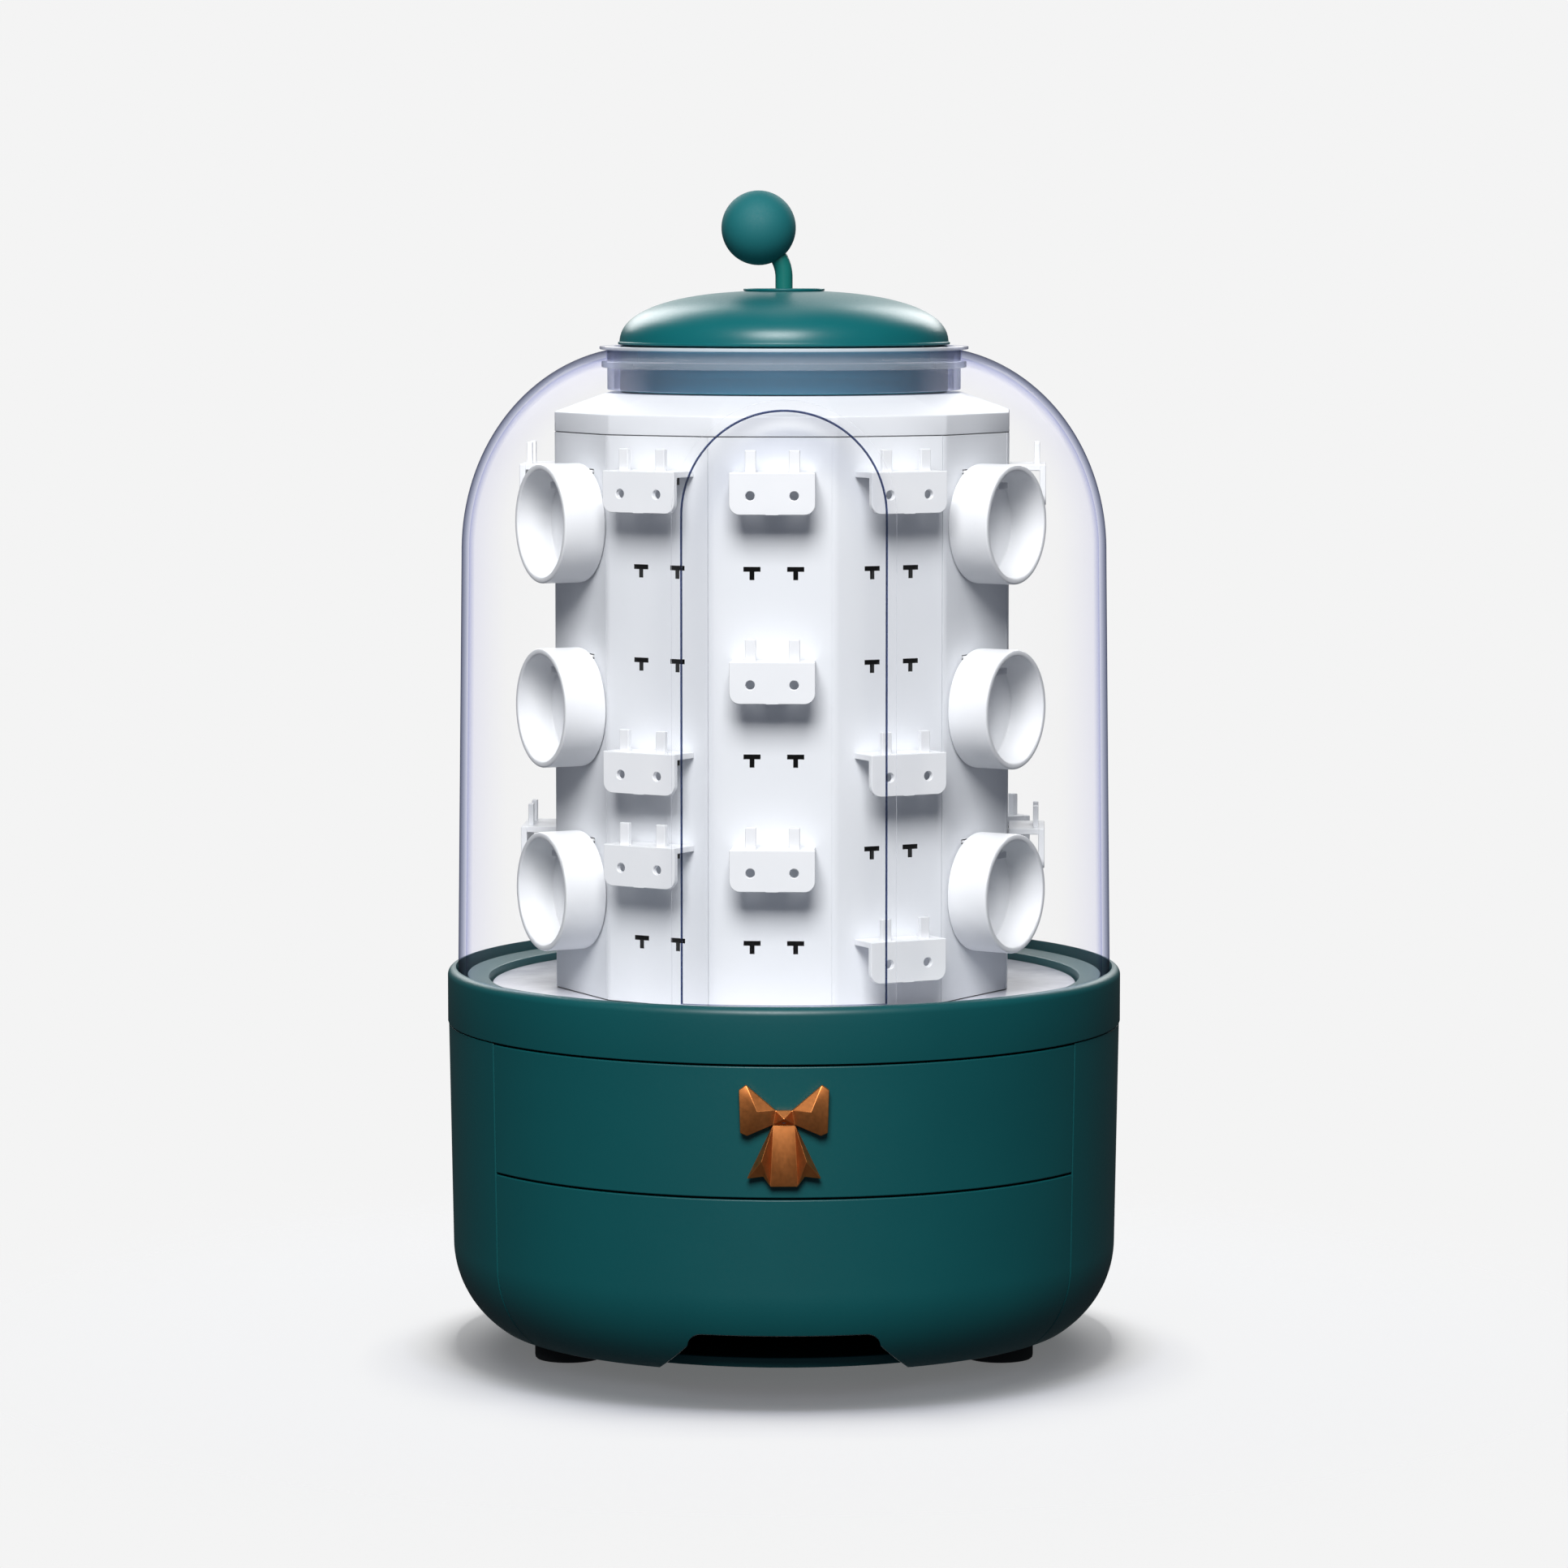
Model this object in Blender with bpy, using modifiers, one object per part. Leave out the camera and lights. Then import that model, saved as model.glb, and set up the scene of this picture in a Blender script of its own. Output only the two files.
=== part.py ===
"""Rotating jewellery box: a round base with two drawers, a clear dome with an arched sliding
door, and inside it a twelve-sided carousel that carries earring hangers and small dishes.

Metres, +Z up. The origin is the centre of the base on the floor. The drawers and the door
face -Y. An angle on the round is counted from -Y towards +X.
"""

import math

import bmesh
import bpy
from mathutils import Matrix

# Clearances
FIT = 0.0003
RUNNING_FIT = 0.0006
OVERRUN = 0.002
JOIN_LAP = 0.0004
MERGE_DISTANCE = 0.000003

# Facets of the turned pieces
LARGE_STEPS = 40
MEDIUM_STEPS = 32
BEARING_STEPS = 20
SMALL_STEPS = 16
CORNER_STEPS = 5
SCREW_SIDES = 8
HEXAGON_SIDES = 6

# Rubber feet
FOOT_HEIGHT = 0.0047
FOOT_RADIUS = 0.010
FOOT_EDGE_DISTANCE = 0.0259
FOOT_ANGLES = (60, 120, 240, 300)

# Base shell
BASE_TOP_RADIUS = 0.1000
BASE_DRAFT = 0.0011
BASE_CORNER_RADIUS = 0.030
BASE_WALL = 0.003
BASE_FLOOR = 0.003
LEDGE_REACH = 0.0028
LEDGE_HEIGHT = 0.0025

# Drawers
DRAWER_HALF_ANGLE = math.radians(57.5)
DRAWER_SEAM = 0.0574
UPPER_FRONT_HEIGHT = 0.0381
FRONT_WALL = 0.003
FRONT_GAP = 0.0003
FLOOR_SETBACK = 0.007
TRAY_SIDE_CLEARANCE = 0.0029
TRAY_BACK_CLEARANCE = 0.0058
TRAY_HEAD_SPACE = 0.0045
TRAY_WALL = 0.002
LOWER_TRAY_RISE = 0.0123
NOTCH_TOP_WIDTH = 0.055
NOTCH_BOTTOM_WIDTH = 0.071
NOTCH_DROP = 0.0028
NOTCH_CORNER_RADIUS = 0.004
NOTCH_CORNER_STEPS = 3

# Drawer runners
RUNNER_PLATE = 0.002
RUNNER_WIDTH = 0.018
RUNNER_LIP_HEIGHT = 0.008
RUNNER_FOOT_WIDTH = 0.006
RUNNER_END_SPACE = 0.010
RUNNER_BRIDGE_DEPTH = 0.014

# Partition and deck
PARTITION_THICKNESS = 0.002
DECK_THICKNESS = 0.0022

# Top ring
RING_STEP = 0.0003
RING_HEIGHT = 0.0162
RING_EDGE_RADIUS = 0.0024
LIP_WIDTH = 0.0064
GROOVE_CLEARANCE = 0.00065
GROOVE_DEPTH = 0.0075
LIP_DROP = 0.0022
LIP_SLOPE = 0.0008

# Dome
DOME_DRAFT = 0.0017
DOME_SIDE_HEIGHT = 0.124
DOME_ROUND_WIDTH = 0.053
DOME_ROUND_HEIGHT = 0.060
DOME_WALL = 0.0022
NECK_INSET = 0.04295
DOME_ROUND_STEPS = 8

# Arched door
ARCH_HALF_WIDTH = 0.0286
ARCH_SPRING_RISE = 0.0142
DOOR_LAP = 0.0032
DOOR_WALL = 0.0016
ARCH_STEPS = 16

# Neck collar
COLLAR_WALL = 0.002
COLLAR_DEPTH = 0.0116
COLLAR_FLANGE_REACH = 0.0023
COLLAR_FLANGE_THICKNESS = 0.0008
COLLAR_BEAD_REACH = 0.0017
COLLAR_BEAD_HEIGHT = 0.002
COLLAR_GRIP_GAP = 0.0008

# Turntable and its ball bearing
DISC_EDGE_GAP = 0.001
DISC_THICKNESS = 0.0031
RACE_INNER_RADIUS = 0.040
RACE_WIDTH = 0.012
RACE_THICKNESS = 0.0022
RACE_GROOVE_DEPTH = 0.0006
RACE_GROOVE_WIDTH = 0.0030
BALL_RADIUS = 0.002
BALL_COUNT = 10
CAGE_THICKNESS = 0.001
CAGE_MARGIN = 0.0015

# Pivot
POST_RADIUS = 0.004
POST_FLANGE_RADIUS = 0.012
POST_FLANGE_THICKNESS = 0.0018
POST_SPIGOT_RADIUS = 0.0057
POST_SPIGOT_LENGTH = 0.004
PIVOT_SCREW_RADIUS = 0.0016
PIVOT_SCREW_LENGTH = 0.009
PIVOT_HEAD_RADIUS = 0.0032
PIVOT_HEAD_HEIGHT = 0.0023
WASHER_RADIUS = 0.009
WASHER_THICKNESS = 0.001

# Column
FACE_COUNT = 12
COLUMN_TURN = math.radians(-2.5)
DISPLAY_SPACE = 0.02655
COLUMN_WALL = 0.002
SLOT_TOP_SPACE = 0.0107
SLOT_BOTTOM_SPACE = 0.0189
SLOT_ROWS = 6
SLOT_HALF_SPACING = 0.00625
SLOT_BAR_WIDTH = 0.0049
SLOT_BAR_HEIGHT = 0.0014
SLOT_STEM_WIDTH = 0.0014
SLOT_HEIGHT = 0.0038
SOCKET_RING_HEIGHT = 0.005

# Column cap
CAP_BAND_HEIGHT = 0.0058
CAP_ROOF_RISE = 0.0052
CAP_FLAT_WIDTH = 0.014
CAP_WALL = 0.002
CAP_CLEARANCE = 0.0008
DRIVE_BOSS_HEIGHT = 0.0105

# Earring hangers
HANGER_EDGE_SPACE = 0.0056
HANGER_PLATE_HEIGHT = 0.012
HANGER_WALL = 0.0018
HANGER_REACH = 0.0109
HANGER_CORNER_RADIUS = 0.003
HANGER_HOLE_RADIUS = 0.0013
HANGER_HOLE_DROP = 0.0066
HANGER_RISE = 0.0011
PRONG_WIDTH = 0.0031
PRONG_HEIGHT = 0.0063
PRONG_THICKNESS = 0.0016
TONGUE_WIDTH = 0.0036
TONGUE_HEIGHT = 0.0008
TONGUE_HOLD = 0.0011
HANGER_PLACES = (
    (0, (1, 3, 5)),
    (-1, (1, 4, 5)),
    (1, (1, 4, 6)),
    (-3, (1, 5)),
    (3, (1, 5)),
    (4, (5,)),
    (-4, (6,)),
)

# Dishes
DISH_EDGE_SPACE = 0.00046
DISH_DEPTH = 0.013
DISH_WALL = 0.0019
DISH_TONGUE_INSET = 0.0022
DISH_STEPS = 24
DISH_PEG_WIDTH = 0.005
DISH_PEG_HEIGHT = 0.002
DISH_PEG_LENGTH = 0.0065
DISH_PEG_INSET = 0.0035
DISH_PLACES = ((-2, (1, 3, 5)), (2, (1, 3, 5)))

# Lid
LID_HEIGHT = 0.0159
LID_SWELL = 2.4
LID_WALL = 0.002
LID_EDGE_INSET = 0.0016
LID_FLANGE_REACH = 0.0023
LID_FLANGE_THICKNESS = 0.0008
LID_OUTER_STEPS = 8
LID_INNER_STEPS = 4
SKIRT_CLEARANCE = 0.0018
SKIRT_WALL = 0.0019
HUB_WALL = 0.002
HUB_SPACE = 0.004

# Knob
KNOB_PLATE_RADIUS = 0.012
KNOB_PLATE_THICKNESS = 0.001
STEM_RADIUS = 0.00255
STEM_BELOW_PLATE = 0.0065
STEM_RISE = 0.0025
STEM_BEND_RADIUS = 0.012
STEM_BEND_ANGLE = math.radians(34.5)
STEM_IN_BALL = 0.004
BALL_KNOB_RADIUS = 0.011
BALL_KNOB_REACH = 0.0095
NUT_RADIUS = 0.0055
NUT_HEIGHT = 0.0022

# Drawer pull and screws
PULL_WIDTH = 0.0255
PULL_TOP_MARGIN = 0.0052
PULL_BOTTOM_MARGIN = 0.0039
PULL_THICKNESS = 0.0041
PULL_SCREW_SHARE = 0.345
PULL_SCREW_DEPTH = 0.0025
SCREW_RADIUS = 0.0013
SCREW_HEAD_RADIUS = 0.0028
SCREW_HEAD_HEIGHT = 0.0016
LOWER_SCREW_HALF_SPACING = 0.030
LOWER_SCREW_RISE = 0.016
FRONT_SCREW_DEPTH = 0.0018

# Half of the bow outline, as shares of its half width and half height, from the top down
BOW_SHARES = (
    (0.18, 0.50),
    (0.84, 1.00),
    (1.00, 0.90),
    (0.97, 0.06),
    (0.82, 0.00),
    (0.24, 0.22),
    (0.82, -0.84),
    (0.46, -0.80),
    (0.30, -1.00),
)

# Sizes and places that follow from the sizes above, from the floor up and outside in
BASE_BOTTOM = FOOT_HEIGHT + FIT
FLOOR_TOP = BASE_BOTTOM + BASE_FLOOR
BASE_TOP = DRAWER_SEAM + UPPER_FRONT_HEIGHT
BASE_LOW_RADIUS = BASE_TOP_RADIUS - BASE_DRAFT
BASE_INNER_RADIUS = BASE_LOW_RADIUS - BASE_WALL
CORNER_CENTRE = BASE_LOW_RADIUS - BASE_CORNER_RADIUS
FOOT_CIRCLE_RADIUS = BASE_LOW_RADIUS - FOOT_EDGE_DISTANCE
PARTITION_BOTTOM = DRAWER_SEAM - PARTITION_THICKNESS / 2
PARTITION_TOP = PARTITION_BOTTOM + PARTITION_THICKNESS
DECK_BOTTOM = BASE_TOP - DECK_THICKNESS
TRAY_HALF_WIDTH = BASE_INNER_RADIUS * math.sin(DRAWER_HALF_ANGLE) - TRAY_SIDE_CLEARANCE
TRAY_BACK = math.sqrt(BASE_INNER_RADIUS**2 - TRAY_HALF_WIDTH**2) - TRAY_BACK_CLEARANCE
LOWER_TRAY_BOTTOM = FLOOR_TOP + LOWER_TRAY_RISE
LOWER_TRAY_HEIGHT = PARTITION_BOTTOM - LOWER_TRAY_BOTTOM - TRAY_HEAD_SPACE
UPPER_TRAY_BOTTOM = PARTITION_TOP + FIT + RUNNER_PLATE + FIT
UPPER_TRAY_HEIGHT = DECK_BOTTOM - UPPER_TRAY_BOTTOM - TRAY_HEAD_SPACE
NOTCH_TOP = LOWER_TRAY_BOTTOM - NOTCH_DROP
RUNNER_HALF_LENGTH = TRAY_BACK - RUNNER_END_SPACE
PULL_HEIGHT = UPPER_FRONT_HEIGHT - PULL_TOP_MARGIN - PULL_BOTTOM_MARGIN
PULL_CENTRE_HEIGHT = DRAWER_SEAM + PULL_BOTTOM_MARGIN + PULL_HEIGHT / 2
PULL_SCREW_SPACING = PULL_HEIGHT * PULL_SCREW_SHARE
RING_BOTTOM = BASE_TOP + FIT
RING_TOP = RING_BOTTOM + RING_HEIGHT
RING_RADIUS = BASE_TOP_RADIUS + RING_STEP
GROOVE_RADIUS = RING_RADIUS - RING_EDGE_RADIUS
GROOVE_INNER_RADIUS = GROOVE_RADIUS - DOME_WALL - 2 * GROOVE_CLEARANCE
GROOVE_FLOOR = RING_TOP - GROOVE_DEPTH
RING_BORE_RADIUS = GROOVE_INNER_RADIUS - LIP_WIDTH
LIP_TOP = RING_TOP - LIP_DROP
DOME_BOTTOM = GROOVE_FLOOR + FIT
DOME_RIM_RADIUS = GROOVE_RADIUS - GROOVE_CLEARANCE
DOME_SHOULDER_RADIUS = DOME_RIM_RADIUS - DOME_DRAFT
DOME_SHOULDER_HEIGHT = RING_TOP + DOME_SIDE_HEIGHT
DOME_ROUND_CENTRE = DOME_SHOULDER_RADIUS - DOME_ROUND_WIDTH
NECK_RADIUS = DOME_SHOULDER_RADIUS - NECK_INSET
NECK_SHARE = (NECK_RADIUS - DOME_ROUND_CENTRE) / DOME_ROUND_WIDTH
NECK_TOP = DOME_SHOULDER_HEIGHT + DOME_ROUND_HEIGHT * math.sqrt(1 - NECK_SHARE**2)
ARCH_SPRING_HEIGHT = DOME_SHOULDER_HEIGHT + ARCH_SPRING_RISE
COLLAR_BOTTOM = NECK_TOP - COLLAR_DEPTH
LID_FLANGE_RADIUS = NECK_RADIUS - LID_EDGE_INSET
LID_RADIUS = LID_FLANGE_RADIUS - LID_FLANGE_REACH
SKIRT_RADIUS = NECK_RADIUS - FIT - COLLAR_WALL - SKIRT_CLEARANCE
HUB_BORE_RADIUS = SKIRT_RADIUS - SKIRT_WALL - HUB_SPACE - HUB_WALL
DRIVE_BOSS_RADIUS = HUB_BORE_RADIUS - RUNNING_FIT
RACE_OUTER_RADIUS = RACE_INNER_RADIUS + RACE_WIDTH
RACE_RADIUS = RACE_INNER_RADIUS + RACE_WIDTH / 2
LOWER_RACE_BOTTOM = BASE_TOP + FIT
BALL_CENTRE = LOWER_RACE_BOTTOM + RACE_THICKNESS - RACE_GROOVE_DEPTH + FIT + BALL_RADIUS
UPPER_RACE_TOP = BALL_CENTRE + BALL_RADIUS + FIT + RACE_THICKNESS - RACE_GROOVE_DEPTH
DISC_BOTTOM = UPPER_RACE_TOP + FIT
DISC_TOP = DISC_BOTTOM + DISC_THICKNESS
DISC_RADIUS = RING_BORE_RADIUS - DISC_EDGE_GAP
FACE_STEP = 2 * math.pi / FACE_COUNT
COLUMN_RADIUS = DOME_SHOULDER_RADIUS - DISPLAY_SPACE
FACE_HALF_WIDTH = COLUMN_RADIUS * math.sin(FACE_STEP / 2)
FACE_DISTANCE = COLUMN_RADIUS * math.cos(FACE_STEP / 2)
INNER_FACE_DISTANCE = FACE_DISTANCE - COLUMN_WALL
SOCKET_RADIUS = (INNER_FACE_DISTANCE - FIT) / math.cos(FACE_STEP / 2)
CAP_TOP = COLLAR_BOTTOM - CAP_CLEARANCE
CAP_SHOULDER = CAP_TOP - CAP_ROOF_RISE
CAP_BOTTOM = CAP_SHOULDER - CAP_BAND_HEIGHT
PANEL_TOP = CAP_BOTTOM - FIT
PANEL_BOTTOM = DISC_TOP + FIT
SLOT_TOP_ROW = PANEL_TOP - SLOT_TOP_SPACE
SLOT_ROW_PITCH = (SLOT_TOP_ROW - SLOT_BOTTOM_SPACE - PANEL_BOTTOM) / (SLOT_ROWS - 1)
HANGER_WIDTH = 2 * (FACE_HALF_WIDTH - HANGER_EDGE_SPACE)
DISH_RADIUS = FACE_HALF_WIDTH - DISH_EDGE_SPACE
DISH_DROP = DISH_RADIUS - DISH_TONGUE_INSET

FINISHES = {
    "teal_plastic": ((0.010, 0.105, 0.100), 0.35, 0.0),
    "dark_plastic": ((0.012, 0.055, 0.052), 0.45, 0.0),
    "grey_plastic": ((0.62, 0.67, 0.73), 0.45, 0.0),
    "disc_plastic": ((0.52, 0.53, 0.60), 0.35, 0.0),
    "white_plastic": ((0.90, 0.91, 0.93), 0.35, 0.0),
    "clear_plastic": ((0.85, 0.87, 0.95), 0.05, 0.0),
    "black_rubber": ((0.010, 0.014, 0.014), 0.80, 0.0),
    "copper_plate": ((0.48, 0.18, 0.042), 0.18, 1.0),
    "steel": ((0.55, 0.55, 0.55), 0.35, 1.0),
}


def clear_scene():
    for old in list(bpy.data.objects):
        bpy.data.objects.remove(old)


def new_collection(name):
    collection = bpy.data.collections.new(name)
    bpy.context.scene.collection.children.link(collection)
    return collection


def make_material(name):
    colour, roughness, metallic = FINISHES[name]
    material = bpy.data.materials.new(name)
    material.use_nodes = True
    shader = material.node_tree.nodes["Principled BSDF"]
    shader.inputs["Base Color"].default_value = (*colour, 1.0)
    shader.inputs["Roughness"].default_value = roughness
    shader.inputs["Metallic"].default_value = metallic
    return material


clear_scene()
PARTS = new_collection("rotating_jewelry_box")
HELPERS = new_collection("cutters")
MATERIALS = {name: make_material(name) for name in FINISHES}


def joint_empty(name):
    """An empty on the box's axis, which carries the pieces that move together."""
    empty = bpy.data.objects.new(name, None)
    PARTS.objects.link(empty)
    return empty


BASE = joint_empty("base")
CAROUSEL = joint_empty("carousel")
BEARING = joint_empty("bearing_cage")
DOOR = joint_empty("door")
LID = joint_empty("lid")
UPPER_DRAWER = joint_empty("upper_drawer")
LOWER_DRAWER = joint_empty("lower_drawer")
LID.parent = CAROUSEL


def as_part(obj, parent, material):
    """Puts a finished piece on the body that carries it, with its material."""
    PARTS.objects.link(obj)
    obj.parent = parent
    obj.data.materials.clear()
    obj.data.materials.append(MATERIALS[material])
    if obj.data.shade_smooth:
        obj.data.shade_smooth()
        obj.data.set_sharp_from_angle(angle=math.radians(35))
    return obj


def as_cutter(obj):
    HELPERS.objects.link(obj)
    obj.hide_render = True
    obj.display_type = "WIRE"
    return obj


def add_boolean(obj, other, operation):
    modifier = obj.modifiers.new(operation.lower(), "BOOLEAN")
    modifier.operation = operation
    modifier.solver = "EXACT"
    modifier.object = other
    return modifier


def baked(obj, name):
    """The object's mesh with its modifiers applied, its doubles merged, in the object's own frame."""
    bpy.context.view_layer.update()
    graph = bpy.context.evaluated_depsgraph_get()
    mesh = bpy.data.meshes.new_from_object(obj.evaluated_get(graph))
    mesh.name = name
    shape = bmesh.new()
    shape.from_mesh(mesh)
    bmesh.ops.remove_doubles(shape, verts=shape.verts, dist=MERGE_DISTANCE)
    shape.to_mesh(mesh)
    shape.free()
    return mesh


def turned(name, outline, steps=LARGE_STEPS, ring=False):
    """Turns an outline of (radius, height) points about Z. A ring's outline is closed."""
    count = len(outline)
    edges = [(i, i + 1) for i in range(count - 1)]
    if ring:
        edges.append((count - 1, 0))
    mesh = bpy.data.meshes.new(name)
    mesh.from_pydata([(radius, 0, height) for radius, height in outline], edges, [])
    obj = bpy.data.objects.new(name, mesh)
    screw = obj.modifiers.new("turn", "SCREW")
    screw.steps = steps
    screw.render_steps = steps
    screw.use_merge_vertices = True
    screw.merge_threshold = MERGE_DISTANCE
    return obj


def disc(name, radius, low, high, steps=LARGE_STEPS, bore=0):
    """A flat disc between two heights, with a bore where one is given."""
    outline = [(bore, high), (radius, high), (radius, low), (bore, low)]
    return turned(name, outline, steps, ring=bore > 0)


def plate(name, outlines, thickness, upright=False):
    """Flat outlines with a thickness, centred on their plane: XY, or XZ where it stands upright."""
    curve = bpy.data.curves.new(name, "CURVE")
    curve.dimensions = "2D"
    curve.fill_mode = "BOTH"
    curve.extrude = thickness / 2
    for outline in outlines:
        spline = curve.splines.new("POLY")
        spline.points.add(len(outline) - 1)
        for point, (x, y) in zip(spline.points, outline):
            point.co = (x, y, 0, 1)
        spline.use_cyclic_u = True
    source = bpy.data.objects.new(name + "_curve", curve)
    HELPERS.objects.link(source)
    mesh = baked(source, name)
    bpy.data.objects.remove(source)
    if upright:
        mesh.transform(Matrix.Rotation(math.radians(90), 4, "X"))
    return bpy.data.objects.new(name, mesh)


def block(name, low, high):
    """A box from its lowest corner to its highest."""
    shape = bmesh.new()
    size = [b - a for a, b in zip(low, high)]
    middle = [(a + b) / 2 for a, b in zip(low, high)]
    bmesh.ops.create_cube(shape, size=1)
    bmesh.ops.scale(shape, vec=size, verts=shape.verts)
    bmesh.ops.translate(shape, vec=middle, verts=shape.verts)
    mesh = bpy.data.meshes.new(name)
    shape.to_mesh(mesh)
    shape.free()
    return bpy.data.objects.new(name, mesh)


def rods(name, ends, radius, length, sides, matrix=Matrix.Identity(4)):
    """Round rods that start at each given point and run along the matrix's Z axis."""
    shape = bmesh.new()
    for end in ends:
        middle = Matrix.Translation(end) @ matrix @ Matrix.Translation((0, 0, length / 2))
        bmesh.ops.create_cone(
            shape,
            cap_ends=True,
            segments=sides,
            radius1=radius,
            radius2=radius,
            depth=length,
            matrix=middle,
        )
    mesh = bpy.data.meshes.new(name)
    shape.to_mesh(mesh)
    shape.free()
    return bpy.data.objects.new(name, mesh)


def joined(name, first, others):
    """One mesh: the first piece with the others joined to it by Boolean unions."""
    as_cutter(first)
    for other in others:
        add_boolean(first, as_cutter(other), "UNION")
    mesh = baked(first, name)
    bpy.data.objects.remove(first)
    for other in others:
        bpy.data.objects.remove(other)
    return mesh


def round_places(radius, angles, height):
    """Points on a circle about the axis, at angles in degrees from -Y towards +X."""
    turns = [math.radians(angle) for angle in angles]
    return [(radius * math.sin(turn), -radius * math.cos(turn), height) for turn in turns]


def base_radius(height, inset=0):
    """The base wall's radius at a height, some way in from its outer face."""
    if height >= BASE_CORNER_RADIUS:
        share = (height - BASE_CORNER_RADIUS) / (BASE_TOP - BASE_CORNER_RADIUS)
        return BASE_LOW_RADIUS + share * (BASE_TOP_RADIUS - BASE_LOW_RADIUS) - inset
    drop = BASE_CORNER_RADIUS - height
    corner = BASE_CORNER_RADIUS - inset
    return CORNER_CENTRE + math.sqrt(max(corner**2 - drop**2, 0))


def base_wall(high, low, inset=0):
    """Points down the base wall's face: the drafted side, then the round bottom corner."""
    points = [(base_radius(high, inset), high)]
    if low >= BASE_CORNER_RADIUS:
        return points + [(base_radius(low, inset), low)]
    corner = BASE_CORNER_RADIUS - inset
    last = math.asin((BASE_CORNER_RADIUS - low) / corner)
    for step in range(CORNER_STEPS + 1):
        angle = last * step / CORNER_STEPS
        radius = CORNER_CENTRE + corner * math.cos(angle)
        points.append((radius, BASE_CORNER_RADIUS - corner * math.sin(angle)))
    return points


def ledge(top):
    """The step in the base wall's inner face that carries a plate, from the bottom up."""
    low = top - LEDGE_HEIGHT
    return [
        (base_radius(low, BASE_WALL), low),
        (base_radius(low, BASE_WALL) - LEDGE_REACH, low),
        (base_radius(low, BASE_WALL) - LEDGE_REACH, top),
        (base_radius(top, BASE_WALL), top),
    ]


def front_sector(name, inner_radius, low, high, gap):
    """The block of the round that the drawer fronts fill, less a gap at each side."""
    half = DRAWER_HALF_ANGLE - gap / RING_RADIUS
    outer = (RING_RADIUS + OVERRUN) / math.cos(half / SMALL_STEPS)
    turns = [half * (2 * step / SMALL_STEPS - 1) for step in range(SMALL_STEPS + 1)]
    outline = [(outer * math.sin(turn), -outer * math.cos(turn)) for turn in turns]
    outline += [(inner_radius * math.sin(turn), -inner_radius * math.cos(turn)) for turn in reversed(turns)]
    sector = plate(name, [outline], high - low)
    sector.data.transform(Matrix.Translation((0, 0, (high + low) / 2)))
    return as_cutter(sector)


def make_feet():
    for number, place in enumerate(round_places(FOOT_CIRCLE_RADIUS, FOOT_ANGLES, 0), 1):
        foot = rods(f"rubber_foot_{number}", [place], FOOT_RADIUS, FOOT_HEIGHT, SMALL_STEPS)
        as_part(foot, BASE, "black_rubber")


def make_base_shell():
    inner = list(reversed(base_wall(PARTITION_BOTTOM - FIT - LEDGE_HEIGHT, FLOOR_TOP, BASE_WALL)))
    outline = [(0, FLOOR_TOP), *inner[:-1]]
    outline += ledge(PARTITION_BOTTOM - FIT)
    outline += ledge(DECK_BOTTOM - FIT)
    outline += [(base_radius(BASE_TOP, BASE_WALL), BASE_TOP)]
    outline += base_wall(BASE_TOP, BASE_BOTTOM)
    outline += [(0, BASE_BOTTOM)]
    shell = turned("base_shell", outline)
    floor_edge = base_radius(BASE_BOTTOM) - FLOOR_SETBACK
    cutter = front_sector("front_opening_cutter", floor_edge, BASE_BOTTOM - OVERRUN, BASE_TOP + OVERRUN, 0)
    add_boolean(shell, cutter, "DIFFERENCE")
    as_part(shell, BASE, "teal_plastic")


def make_partition_and_deck():
    partition_radius = base_radius(PARTITION_BOTTOM, BASE_WALL) - FIT
    partition = disc("drawer_partition", partition_radius, PARTITION_BOTTOM, PARTITION_TOP)
    as_part(partition, BASE, "dark_plastic")
    deck_radius = base_radius(DECK_BOTTOM, BASE_WALL) - FIT
    deck = disc("deck_plate", deck_radius, DECK_BOTTOM, BASE_TOP, bore=POST_SPIGOT_RADIUS + FIT)
    as_part(deck, BASE, "dark_plastic")


def make_runners():
    """Two frames that the trays rest on and slide between: an angle rail each side and a bridge."""
    outer = TRAY_HALF_WIDTH + RUNNING_FIT + RUNNER_PLATE
    lip = TRAY_HALF_WIDTH + RUNNING_FIT
    inner = outer - RUNNER_WIDTH
    frames = (
        ("lower_drawer_runner", LOWER_TRAY_BOTTOM - FIT, FLOOR_TOP + FIT),
        ("upper_drawer_runner", UPPER_TRAY_BOTTOM - FIT, PARTITION_TOP + FIT),
    )
    for name, top, bottom in frames:
        plate_bottom = top - RUNNER_PLATE
        section = [
            (inner, top),
            (lip, top),
            (lip, top + RUNNER_LIP_HEIGHT),
            (outer, top + RUNNER_LIP_HEIGHT),
            (outer, plate_bottom),
        ]
        if plate_bottom - bottom > FIT:
            section += [
                (inner + RUNNER_FOOT_WIDTH, plate_bottom),
                (inner + RUNNER_FOOT_WIDTH, bottom),
                (inner, bottom),
            ]
        else:
            section += [(inner, plate_bottom)]
        mirrored = [(-x, z) for x, z in reversed(section)]
        rails = plate(name + "_rails", [section, mirrored], 2 * RUNNER_HALF_LENGTH, upright=True)
        reach = inner + RUNNER_FOOT_WIDTH / 2
        bridge_low = (-reach, -RUNNER_BRIDGE_DEPTH / 2, plate_bottom)
        bridge = block(name + "_bridge", bridge_low, (reach, RUNNER_BRIDGE_DEPTH / 2, top))
        runner = bpy.data.objects.new(name, joined(name, rails, [bridge]))
        as_part(runner, BASE, "dark_plastic")


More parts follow.
